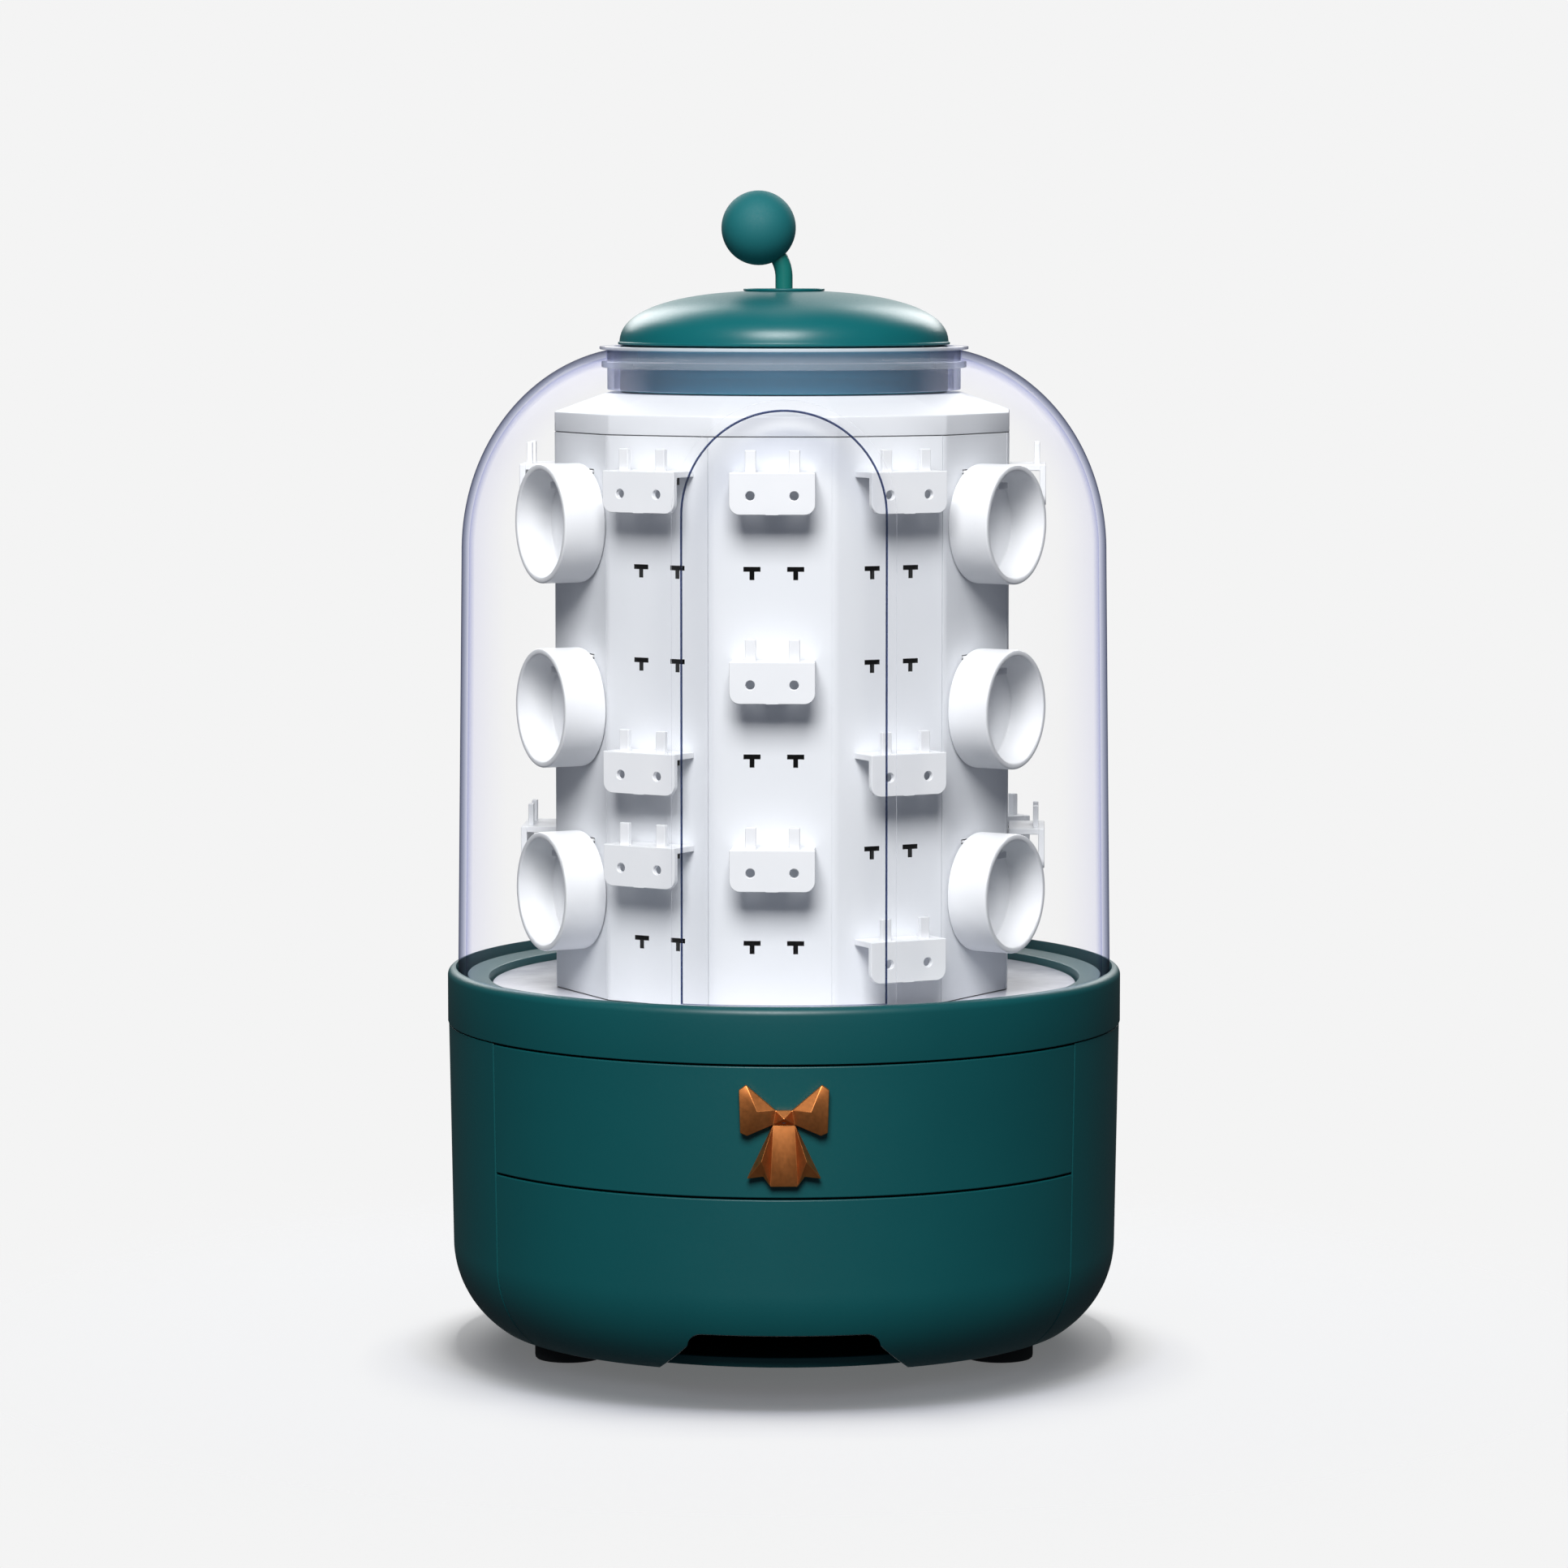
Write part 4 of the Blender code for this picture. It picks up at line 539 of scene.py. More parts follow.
# Column.
# A twelve-sided tube in pale blue-grey ABS with six rows of paired T-slots on every face, moulded
# in panels whose joints show as a hairline beside each corner. It stands on a ring on the disc.
COLUMN_LOW, COLUMN_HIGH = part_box("column_body")
FACE_COUNT = 12
FACE_STEP = 2 * math.pi / FACE_COUNT
COLUMN_TURN = math.radians(-2.5)
COLUMN_RADIUS = 0.069
COLUMN_WALL = 0.002
COLUMN_CORNER = 0.0010
JOINT_INSET = 0.0013
JOINT_WIDTH = 0.00025
JOINT_DEPTH = 0.0004
SLOT_ROWS = 6
SLOT_SPACING = 0.00625
SLOT_BAR_HALF = 0.00245
SLOT_STEM_HALF = 0.0007
SLOT_BAR_HEIGHT = 0.0014
SLOT_HEIGHT = 0.0038
SLOT_TOP_SPACE = 0.0107
SLOT_PITCH = 0.02686
COLUMN_PALE = "#e9ebee"
COLUMN_SHADE = "#e2e5ea"
# Painted shade: the near black of the inside of the tube and its slots
SLOT_DARK = "#0a0c0e"
SLOT_LIGHT = "#101316"
# Along a face line: the points up to its joint, and the strips that the slots' bars and stems cut
FLAT_POINTS = 11
BAR_STRIPS = (1, 2, 3, 6, 7, 8)
STEM_STRIPS = (2, 7)
face_distance = COLUMN_RADIUS * math.cos(FACE_STEP / 2)
half_face = COLUMN_RADIUS * math.sin(FACE_STEP / 2)


def face_line():
    """Across one face and round its right-hand corner: (distance along, depth below the face)."""
    slot = np.array([-SLOT_BAR_HALF, -SLOT_STEM_HALF, SLOT_STEM_HALF, SLOT_BAR_HALF])
    joint = half_face - JOINT_INSET
    along = [-half_face + COLUMN_CORNER, *slot - SLOT_SPACING, 0, *slot + SLOT_SPACING]
    along += [joint, joint]
    along += [joint + JOINT_WIDTH, joint + JOINT_WIDTH, half_face - COLUMN_CORNER / 2]
    depth = [0] * FLAT_POINTS + [JOINT_DEPTH, JOINT_DEPTH, 0, 0]
    return np.array([along, depth])


def from_face(face, across, out):
    """Places (x, y) of points across a face and out from the axis, face 0 at the front."""
    turn = COLUMN_TURN + face * FACE_STEP
    x = out * np.sin(turn) + across * np.cos(turn)
    return x, across * np.sin(turn) - out * np.cos(turn)


def column_outline():
    """The outline seen from above, as points (x, y): twelve face lines, one after the other."""
    along, depth = face_line()
    x, y = from_face(np.arange(FACE_COUNT)[:, None], along, face_distance - depth)
    return np.stack([x.ravel(), y.ravel()], -1), len(along)


def lofted(outline, profile):
    """The outline scaled to each profile radius and set at its height: rows of points."""
    scale = profile[:, :1, None] / COLUMN_RADIUS
    rows = outline[None] * scale
    height = np.broadcast_to(profile[:, 1:, None], (*rows.shape[:2], 1))
    return np.concatenate([rows, height], -1)


# ABS, injection moulded with a fine matt texture: cool pale grey, darker in the joints.
column_abs = moulded("matt_blue_grey_abs", COLUMN_SHADE, COLUMN_PALE, 0.48, drift=0.05)
# Painted shade: the same white ABS within the tube and its slots, where no light falls, is coloured
# near black, as slots look.
painted_shade_abs = moulded("painted_shade_inside_abs", SLOT_DARK, SLOT_LIGHT, 0.9, drift=0.05)
outline, face_points = column_outline()
row_centres = COLUMN_HIGH.z - SLOT_TOP_SPACE - SLOT_PITCH * np.arange(SLOT_ROWS)[:, None]
bar_half = SLOT_BAR_HEIGHT / 2
cuts = row_centres + np.array([bar_half, -bar_half, bar_half - SLOT_HEIGHT])
heights = np.concatenate([[COLUMN_HIGH.z], cuts.ravel(), [COLUMN_LOW.z]])
rows = lofted(outline, np.column_stack([np.full(len(heights), COLUMN_RADIUS), heights]))
points, faces = patch(rows, True)
band = np.repeat(np.arange(len(heights) - 1), len(outline))
strip = np.tile(np.arange(len(outline)) % face_points, len(heights) - 1)
# Each row of slots has three bands: the wall above it, its bar and its stem
in_bar = (band % 3 == 1) & np.isin(strip, BAR_STRIPS)
in_stem = (band % 3 == 2) & np.isin(strip, STEM_STRIPS)
groups = [([(points, faces[~(in_bar | in_stem)])], column_abs)]
column = piece("column", groups, "carousel", "column_body")
# The inner skin and the walls of the slots take the painted shade.
column.data.materials.append(painted_shade_abs)
wall = column.modifiers.new("wall", "SOLIDIFY")
wall.thickness = COLUMN_WALL
wall.offset = -1
wall.material_offset = 1
wall.material_offset_rim = 1
finish(column_abs, "column_base_ring")


# Column cap.
# The twelve-sided roof moulded in the same ABS, pushed over the tube's top. Its raised boss fits
# the lid's socket, so that the lid turns the column.
CAP_LOW, CAP_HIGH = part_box("column_cap")
CAP_GAP = 0.00015
CAP_BAND = 0.0058
CAP_FLAT = 0.014
CAP_WALL = 0.002
BOSS_RADIUS = 0.040
BOSS_HEIGHT = 0.0105
# A face line's left corner, middle and right corner
CAP_POINTS = [0, 5, 14]
cap_bottom = COLUMN_HIGH.z + CAP_GAP
cap_shoulder = cap_bottom + CAP_BAND
cap_top = CAP_HIGH.z - BOSS_HEIGHT
roof_edge = BOSS_RADIUS + CAP_FLAT
socket_radius = (face_distance - COLUMN_WALL - FIT) / math.cos(FACE_STEP / 2)
boss_inner = BOSS_RADIUS - CAP_WALL
socket_inner = socket_radius - CAP_WALL
profile = [(0, cap_top), (boss_inner, cap_top), (boss_inner, CAP_HIGH.z)]
profile += [(BOSS_RADIUS, CAP_HIGH.z), (BOSS_RADIUS, cap_top), (roof_edge, cap_top)]
profile += [(COLUMN_RADIUS, cap_shoulder), (COLUMN_RADIUS, cap_bottom)]
profile += [(socket_radius, cap_bottom), (socket_radius, CAP_LOW.z)]
profile += [(socket_inner, CAP_LOW.z), (socket_inner, cap_shoulder - CAP_WALL)]
profile += [(roof_edge, cap_top - CAP_WALL), (0, cap_top - CAP_WALL)]
cap_outline = outline.reshape(FACE_COUNT, face_points, 2)[:, CAP_POINTS].reshape(-1, 2)
groups = [([patch(lofted(cap_outline, rounded(profile, EDGE)), True)], column_abs)]
piece("column_roof", groups, "carousel", "column_cap")


# Earring hangers.
# Fifteen small brackets moulded in white polystyrene. Two flat tongues push through a pair of
# T-slots; a shelf carries a plate with two holes for ear hooks and two upright prongs.
HANGER_HALF = 0.01226
HANGER_PLATE = 0.012
HANGER_WALL = 0.0018
HANGER_REACH = 0.0109
HANGER_CORNER = 0.003
HANGER_RISE = 0.0011
HOLE_RADIUS = 0.0013
HOLE_DROP = 0.0066
PRONG_HALF = 0.00155
PRONG_HEIGHT = 0.0063
PRONG_THICKNESS = 0.0016
TONGUE_HALF = 0.0018
TONGUE_HEIGHT = 0.0008
TONGUE_HOLD = 0.0011
HANGER_EDGE = 0.00025
WHITE = "#f4f5f7"
WHITE_SHADE = "#eceef1"
# Points of half a plate's outline: top, side, round corner, foot and back up the middle. Its edge
# runs along the first 22 of them, one strip short of the foot's middle.
PLATE_POINTS = (7, 4, 7, 5, 5)
PLATE_EDGE = slice(0, 22)
# Face (counted from the front one towards +X) and rows of each group of hangers
HANGER_PLACES = ((0, (1, 3, 5)), (-1, (1, 4, 5)), (1, (1, 4, 6)), (-3, (1, 5)), (3, (1, 5)))
HANGER_PLACES += ((4, (5,)), (-4, (6,)))


def block(low, high):
    """A box from its lowest corner to its highest."""
    unit = np.array([[(x, y, z) for x, y in ((0, 0), (1, 0), (1, 1), (0, 1))] for z in (0, 1)])
    rings = np.array(low) + unit * (np.array(high) - low)
    return [patch(rings, True), cap(rings[0]), cap(rings[1])]


def twin_blocks(half, out, up):
    """A box at each of a pair of slots: its half width, and its span out from the axis and up."""
    patches = []
    for centre in (-SLOT_SPACING, SLOT_SPACING):
        patches += block((centre - half, out[0], up[0]), (centre + half, out[1], up[1]))
    return patches


def tongues(start):
    """The two flat tongues behind a fitting, in the face's own directions: across, out and up."""
    end = face_distance - COLUMN_WALL - TONGUE_HOLD
    half = TONGUE_HEIGHT / 2
    return twin_blocks(TONGUE_HALF, (end, start), (-half, half))


def half_plate(side):
    """Half of the drilled plate: its outline and hole as rings with the same count of points."""
    low = HANGER_RISE - HANGER_PLATE
    corner = HANGER_HALF - HANGER_CORNER
    top, side_count, bend, foot, middle = PLATE_POINTS
    turn = np.linspace(0, math.pi / 2, bend)
    across = [np.linspace(0, HANGER_HALF, top), np.full(side_count, HANGER_HALF)]
    across += [corner + HANGER_CORNER * np.cos(turn)]
    across += [np.linspace(corner, 0, foot + 1)[1:], np.zeros(middle)]
    up = [np.full(top, HANGER_RISE)]
    up += [np.linspace(HANGER_RISE, low + HANGER_CORNER, side_count + 2)[1:-1]]
    up += [low + HANGER_CORNER * (1 - np.sin(turn)), np.full(foot, low)]
    up += [np.linspace(low, HANGER_RISE, middle + 2)[1:-1]]
    rim = np.stack([np.concatenate(across), np.concatenate(up)], -1)
    centre = np.array([SLOT_SPACING, HANGER_RISE - HOLE_DROP])
    aim = rim - centre
    hole = centre + HOLE_RADIUS * aim / np.linalg.norm(aim, axis=1)[:, None]
    return rim * (side, 1), hole * (side, 1)


def hanger():
    """One hanger in its face's directions, measured from the axis and its row of slots."""
    front = face_distance + HANGER_REACH
    back = front - HANGER_WALL
    patches = []
    for side in (-1, 1):
        rim, hole = half_plate(side)
        loops = [np.insert(loop, 1, out, 1) for loop in (rim, hole) for out in (front, back)]
        rim_front, rim_back, hole_front, hole_back = loops
        patches += [
            patch(np.stack([rim_front, hole_front]), True),
            patch(np.stack([hole_front, hole_back]), True),
            patch(np.stack([hole_back, rim_back]), True),
            patch(np.stack([rim_back[PLATE_EDGE], rim_front[PLATE_EDGE]])),
        ]
    shelf_low = (-HANGER_HALF + HANGER_EDGE, face_distance + FIT, HANGER_RISE - HANGER_WALL)
    patches += block(shelf_low, (HANGER_HALF - HANGER_EDGE, back + HANGER_EDGE, HANGER_RISE))
    span = (HANGER_RISE - HANGER_WALL / 2, HANGER_RISE + PRONG_HEIGHT)
    patches += twin_blocks(PRONG_HALF, (back - PRONG_THICKNESS, back), span)
    return patches + tongues(face_distance + HANGER_WALL)


def on_face(patches, face, row):
    """Patches in a face's directions, turned to that face and set at that row of slots."""
    moved = []
    for points, faces in patches:
        across, out, up = points.T
        x, y = from_face(face, across, out)
        moved.append((np.stack([x, y, up + row_centres[row - 1]], -1), faces))
    return moved


# General-purpose polystyrene, white and glossy from a polished mould, with soft sink marks.
white_ps = moulded(
    "glossy_white_polystyrene", WHITE_SHADE, WHITE, 0.3, grain=0.0012, relief=6e-6, drift=0.01
)


def plugged_in(process, name, patches, places):
    """One piece with these patches for each face and row in places, numbered in that order."""
    slots = [(face, row) for face, rows in places for row in rows]
    for number, (face, row) in enumerate(slots, 1):
        node = f"{name}_{number:02d}"
        groups = [(on_face(patches, face, row), white_ps)]
        piece(f"{process}_{node}", groups, "carousel", node, HANGER_EDGE)


plugged_in("drilled", "earring_hanger", hanger(), HANGER_PLACES)


# Dishes.
# Six round dishes for rings, moulded in the same white polystyrene, that plug into the slots by
# two tongues. Each has a small peg under its upper edge for a chain.
DISH_RADIUS = 0.0174
DISH_DEPTH = 0.013
DISH_WALL = 0.0019
DISH_DROP = 0.0152
DISH_STEPS = 72
DISH_EDGE = 0.0007
PEG_HALF = 0.0025
PEG_HEIGHT = 0.002
PEG_LENGTH = 0.0065
PEG_TOP = 0.012
DISH_PLACES = ((-2, (1, 3, 5)), (2, (1, 3, 5)))


def dish():
    """One dish in its face's directions: a turned bowl that opens outwards, its peg and tongues."""
    back = face_distance + FIT
    inner = DISH_RADIUS - DISH_WALL
    outline = [(0, DISH_WALL), (inner, DISH_WALL), (inner, DISH_DEPTH)]
    outline += [(DISH_RADIUS, DISH_DEPTH), (DISH_RADIUS, 0), (0, 0)]
    points, faces = turned(rounded(outline, DISH_EDGE), DISH_STEPS)
    bowl = np.stack([points[:, 0], back + points[:, 2], points[:, 1] - DISH_DROP], -1)
    peg_top = PEG_TOP - DISH_DROP
    low = (-PEG_HALF, back + DISH_WALL / 2, peg_top - PEG_HEIGHT)
    peg = block(low, (PEG_HALF, back + DISH_WALL + PEG_LENGTH, peg_top))
    return [(bowl, faces), *peg, *tongues(back + DISH_WALL / 2)]


plugged_in("turned", "ring_dish", dish(), DISH_PLACES)


# Dome.
# One clear acrylic moulding: a slightly drafted cylinder under a round shoulder, with an open neck
# and an arched doorway cut through its front. Its rim stands in the ring's groove.
DOME_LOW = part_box("dome_shell")[0]
DOME_RIM = 0.09725
DOME_DRAFT = 0.0017
DOME_SIDE = 0.124
DOME_ROUND_WIDTH = 0.053
DOME_ROUND_HEIGHT = 0.060
NECK_INSET = 0.04295
ARCH_HALF = 0.0286
ARCH_RISE = 0.0142
ARCH_ROUND = 0.0006
ARCH_EDGE_STEPS = 9
WINDOW_HALF = math.radians(27)
WINDOW_TOP = 0.285
WINDOW_COLUMNS = 28
WINDOW_ROWS = 76
WINDOW_RINGS = 7
DOME_COLUMNS = 110
NECK_ROWS = 10
PROFILE_SAMPLES = 2000
CLEAR_EDGE = 0.0004
ACRYLIC_ROUGHNESS = 0.06
ACRYLIC_IOR = 1.49
FILM_START = 0.35
shoulder_z = RING_HIGH.z + DOME_SIDE
shoulder_radius = DOME_RIM - DOME_DRAFT
round_centre = shoulder_radius - DOME_ROUND_WIDTH
neck_radius = shoulder_radius - NECK_INSET
spring_z = shoulder_z + ARCH_RISE


def dome_radius(height, inset=0.0):
    """The dome's radius at a height: a straight draft up to the shoulder, then an ellipse,
    centre + width sqrt(1 - rise^2)."""
    share = (height - DOME_LOW.z) / (shoulder_z - DOME_LOW.z)
    side = DOME_RIM - share * DOME_DRAFT - inset
    rise = np.clip((height - shoulder_z) / (DOME_ROUND_HEIGHT - inset), 0, 1)
    arc = round_centre + (DOME_ROUND_WIDTH - inset) * np.sqrt(1 - rise**2)
    return np.where(height <= shoulder_z, side, arc)


def dome_heights(low, high, count, inset):
    """Heights on a skin that stand for even steps along the outer profile from low to high."""
    height = np.linspace(low, high, PROFILE_SAMPLES)
    run = np.cumsum(np.hypot(np.gradient(height), np.gradient(dome_radius(height))))
    height = np.interp(np.linspace(run[0], run[-1], count), run, height)
    shrink = (DOME_ROUND_HEIGHT - inset) / DOME_ROUND_HEIGHT
    return np.where(height > shoulder_z, shoulder_z + (height - shoulder_z) * shrink, height)


def arch_loop(inset, grow):
    """The doorway's outline on a skin, wider by grow, as (angle, height): sill, side, top, side."""
    half = ARCH_HALF + grow
    sill = np.linspace([-half, RING_HIGH.z], [half, RING_HIGH.z], WINDOW_COLUMNS).T
    straight = spring_z - RING_HIGH.z
    run = np.linspace(0, straight + half * math.pi / 4, WINDOW_ROWS)
    bend = np.clip(run - straight, 0, None) / half
    rise = np.minimum(run, straight) + RING_HIGH.z
    side = np.stack([half * np.cos(bend), rise + half * np.sin(bend)])
    turn = np.linspace(math.pi / 4, 3 * math.pi / 4, WINDOW_COLUMNS)
    top = np.stack([half * np.cos(turn), spring_z + half * np.sin(turn)])
    left = side[:, ::-1] * np.array([[-1], [1]])
    across, height = np.concatenate([sill[:, :-1], side[:, :-1], top[:, :-1], left[:, :-1]], 1)
    return np.arcsin(across / dome_radius(height, inset)), height


def window_grid(inset):
    """The angles of the window's columns and the heights of its rows on a skin."""
    column = np.linspace(-WINDOW_HALF, WINDOW_HALF, WINDOW_COLUMNS)
    return column, dome_heights(DOME_LOW.z, WINDOW_TOP, WINDOW_ROWS, inset)


def window_loop(inset):
    """The rectangle of angles and heights round the doorway, point for point with its outline."""
    grid = np.stack(np.meshgrid(*window_grid(inset)), -1)
    return np.concatenate([grid[0, :-1], grid[:-1, -1], grid[-1, :0:-1], grid[:0:-1, 0]]).T


def dome_skin(inset):
    """One skin of the dome: rings between doorway and window, the rest turned, and its loops."""
    share = np.linspace(0, 1, WINDOW_RINGS)[:, None]
    arch_angle, arch_height = arch_loop(inset, ARCH_ROUND)
    edge_angle, edge_height = window_loop(inset)
    angle = (1 - share) * arch_angle + share * edge_angle
    height = (1 - share) * arch_height + share * edge_height
    window = polar(dome_radius(height, inset), angle, height)
    neck = (neck_radius - round_centre) / (DOME_ROUND_WIDTH - inset)
    top = shoulder_z + DOME_ROUND_HEIGHT * math.sqrt(1 - neck**2)
    column, low = window_grid(inset)
    upper = dome_heights(WINDOW_TOP, top, NECK_ROWS, inset)
    rows = np.concatenate([low, upper[1:]])[:, None]
    beside = np.linspace(WINDOW_HALF, 2 * math.pi - WINDOW_HALF, DOME_COLUMNS)
    side = polar(dome_radius(rows, inset), beside, rows)
    above = polar(dome_radius(upper[:, None], inset), column, upper[:, None])
    rim = np.concatenate([window[-1, : WINDOW_COLUMNS - 1], side[0, :-1]])
    collar = np.concatenate([above[-1, :-1], side[-1, :-1]])
    return [patch(window, True), patch(side), patch(above)], (window[0], rim, collar)


def acrylic(name, tints, film, shares):
    """A clear wall: each surface tints what is behind by its slant and adds a film of gloss.

    tints are pairs of slant (0 face on, 1 edge on) and colour, shares the film's share at both."""
    material, tree = empty_tree(bpy.data.materials, name)
    slant = add(tree, "LayerWeight").outputs["Facing"]
    ramp = add(tree, "ValToRGB", {"Fac": slant})
    stops = ramp.color_ramp.elements
    for stop, (position, code) in zip(stops, (tints[0], tints[-1])):
        stop.position, stop.color = position, linear(code)
    for position, code in tints[1:-1]:
        stops.new(position).color = linear(code)
    clear = add(tree, "BsdfTransparent", {"Color": ramp})
    values = {"Base Color": film, "Roughness": ACRYLIC_ROUGHNESS, "IOR": ACRYLIC_IOR}
    gloss = add(tree, "BsdfPrincipled", values)
    values = {"Value": slant, "From Min": FILM_START, "To Min": shares[0], "To Max": shares[1]}
    share = add(tree, "MapRange", values)
    both = add(tree, "MixShader", {0: share, 1: clear, 2: gloss})
    add(tree, "OutputMaterial", {"Surface": both})
    return material


# Clear acrylic, injection moulded and polished: all but invisible face on, lavender where the eye
# looks along the wall, then a slate-blue line. The inside adds almost nothing to that.
CLEAR_TINTS = ((0.50, "#ffffff"), (0.72, "#fdfdff"), (0.79, "#edeef8"), (0.84, "#d0d3e0"))
CLEAR_TINTS += ((0.93, "#a0a4b4"), (1.00, "#60668a"))
INSIDE_TINTS = ((0.50, "#ffffff"), (0.80, "#fcfcff"), (1.00, "#e4e6f4"))
# Its cut and polished edge gathers light from the whole wall and reads as a dark slate-blue line
RIM_TINTS = ((0.00, "#8e99b8"), (1.00, "#626d8e"))
clear_acrylic = acrylic("clear_moulded_acrylic", CLEAR_TINTS, "#fafbff", (0.008, 0.05))
inside_acrylic = acrylic("clear_acrylic_inside", INSIDE_TINTS, "#fafbff", (0.004, 0.02))
rim_acrylic = acrylic("polished_acrylic_edge", RIM_TINTS, "#8d97b6", (0.05, 0.25))
outer, outer_loops = dome_skin(0)
inner, inner_loops = dome_skin(DOME_WALL)
turn = np.linspace(0, math.pi, ARCH_EDGE_STEPS)
arch_edge = [outer_loops[0]]
for share, bulge in zip((1 - np.cos(turn[1:-1])) / 2, np.sin(turn[1:-1])):
    angle, height = arch_loop(share * DOME_WALL, ARCH_ROUND * (1 - bulge))
    arch_edge.append(polar(dome_radius(height, share * DOME_WALL), angle, height))
arch_edge = patch(np.stack([*arch_edge, inner_loops[0]]), True)
edges = [patch(np.stack(pair), True) for pair in zip(outer_loops[1:], inner_loops[1:])]
groups = [(outer, clear_acrylic), (inner + edges, inside_acrylic), ([arch_edge], rim_acrylic)]
piece("dome", groups, "base", "dome_shell")


# Door.
# An arched panel of the same acrylic that slides round inside the dome, in the ring's lip. It laps
# the doorway by about 3 mm, and its edge shows as a pale line round the arch.
DOOR_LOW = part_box("door_panel")[0]
DOOR_LAP = 0.0032
DOOR_WALL = 0.0016
DOOR_GAP = 0.0006
DOOR_COLUMNS = 49
DOOR_ROWS = 60
door_half = ARCH_HALF + DOOR_LAP
turn = np.linspace(-math.pi / 2, math.pi / 2, DOOR_COLUMNS)
across = door_half * np.sin(turn)
share = np.linspace(0, 1, DOOR_ROWS)[:, None]
height = DOOR_LOW.z + (spring_z + door_half * np.cos(turn) - DOOR_LOW.z) * share
skins = []
for inset in (DOME_WALL + DOOR_GAP, DOME_WALL + DOOR_GAP + DOOR_WALL):
    radius = dome_radius(height, inset)
    skins.append(polar(radius, np.arcsin(across / radius), height))
# The door's edge is sawn and left satin: a pale line instead of a dark one.
PALE_TINTS = ((0.00, "#f2f3fc"), (1.00, "#d6daec"))
pale_acrylic = acrylic("satin_edge_and_flange_highlight", PALE_TINTS, "#fcfcff", (0.55, 0.75))
edges = []
for start in (0, -1):
    edges.append(patch(np.stack([skins[0][start], skins[1][start]])))
    edges.append(patch(np.stack([skins[0][:, start], skins[1][:, start]])))
groups = [([patch(skin) for skin in skins], inside_acrylic), (edges, pale_acrylic)]
piece("door", groups, "door", "door_panel", CLEAR_EDGE, rim=1)


# Neck collar.
# A clear acrylic sleeve clipped into the dome's neck, a flange above the edge and a bead below it,
# that centres the lid.
COLLAR_LOW, COLLAR_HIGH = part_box("neck_collar")
COLLAR_WALL = 0.002
COLLAR_FLANGE = 0.0023
COLLAR_FLANGE_HEIGHT = 0.0008
COLLAR_BEAD = 0.0017
COLLAR_BEAD_HEIGHT = 0.002
COLLAR_GRIP = 0.0008
COLLAR_SEAT = 0.0002
collar_radius = neck_radius - FIT
inner_neck = (neck_radius - round_centre) / (DOME_ROUND_WIDTH - DOME_WALL)
bead_top = shoulder_z + (DOME_ROUND_HEIGHT - DOME_WALL) * math.sqrt(1 - inner_neck**2) - COLLAR_GRIP
flange_low = COLLAR_HIGH.z - COLLAR_FLANGE_HEIGHT
flange_top = COLLAR_HIGH.z + COLLAR_SEAT
flange_edge = collar_radius + COLLAR_FLANGE
collar_inner = collar_radius - COLLAR_WALL
bead_low = bead_top - COLLAR_BEAD_HEIGHT
bead_edge = collar_radius + COLLAR_BEAD
flange = [(collar_inner, flange_top), (flange_edge, flange_top)]
flange += [(flange_edge, flange_low), (collar_radius, flange_low)]
grip = [(collar_radius, flange_low), (collar_radius, bead_top), (bead_edge, bead_top)]
grip += [(bead_edge, bead_low), (collar_radius, bead_low)]
sleeve = [(collar_radius, bead_low), (collar_radius, COLLAR_LOW.z)]
sleeve += [(collar_inner, COLLAR_LOW.z), (collar_inner, flange_top)]
# Milled acrylic. The flange wears the door's pale satin edge as a painted highlight, for the light
# that it carries down from above: a pale line under the lid. The grip shows as a hazy band, and
# the polished sleeve below lets the dark skirt through.
grip_acrylic = acrylic("milled_acrylic", PALE_TINTS, "#e2ecf4", (0.22, 0.60))
sleeve_acrylic = acrylic("polished_acrylic_sleeve", PALE_TINTS, "#e8ebf8", (0.03, 0.50))
groups = [
    ([turned(rounded(sleeve, CLEAR_EDGE), RING_STEPS)], sleeve_acrylic),
    # The flange's pale satin is painted highlight.
    ([turned(rounded(flange, FIT), RING_STEPS)], pale_acrylic),
    ([turned(rounded(grip, CLEAR_EDGE), RING_STEPS)], grip_acrylic),
]
piece("collar", groups, "base", "neck_collar")


# Lid.
# A swelling cap moulded in teal ABS on a thin flange, with a dark skirt inside the collar and a
# twelve-sided socket for the column's boss, both welded under it.
LID_LOW, LID_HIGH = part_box("lid_cap")
LID_RADIUS = 0.0487
LID_FLANGE = 0.0008
LID_BEAD = 0.0004
LID_SWELL = 2.4
LID_WALL = 0.002
LID_STEPS = 30
STEM_HOLE = 0.00285
SKIRT_WALL = 0.0019
LID_TEAL = "#085e62"
LID_TEAL_LIGHT = "#0b666a"
SKIRT_COLOUR = "#2f838c"
SKIRT_SHADE = "#2a7b84"


def lid_curve(inset):
    """Down the lid's swelling top, a superellipse: (R sin(t)^(2/n), H cos(t)^(2/n))."""
    turn = np.linspace(0, math.pi / 2, LID_STEPS)
    swell = 2 / LID_SWELL
    radius = (LID_RADIUS - inset) * np.sin(turn) ** swell
    height = (LID_HIGH.z - LID_LOW.z - inset) * np.clip(np.cos(turn), 0, 1) ** swell
    return np.stack([np.maximum(radius, STEM_HOLE), LID_LOW.z + height], -1)


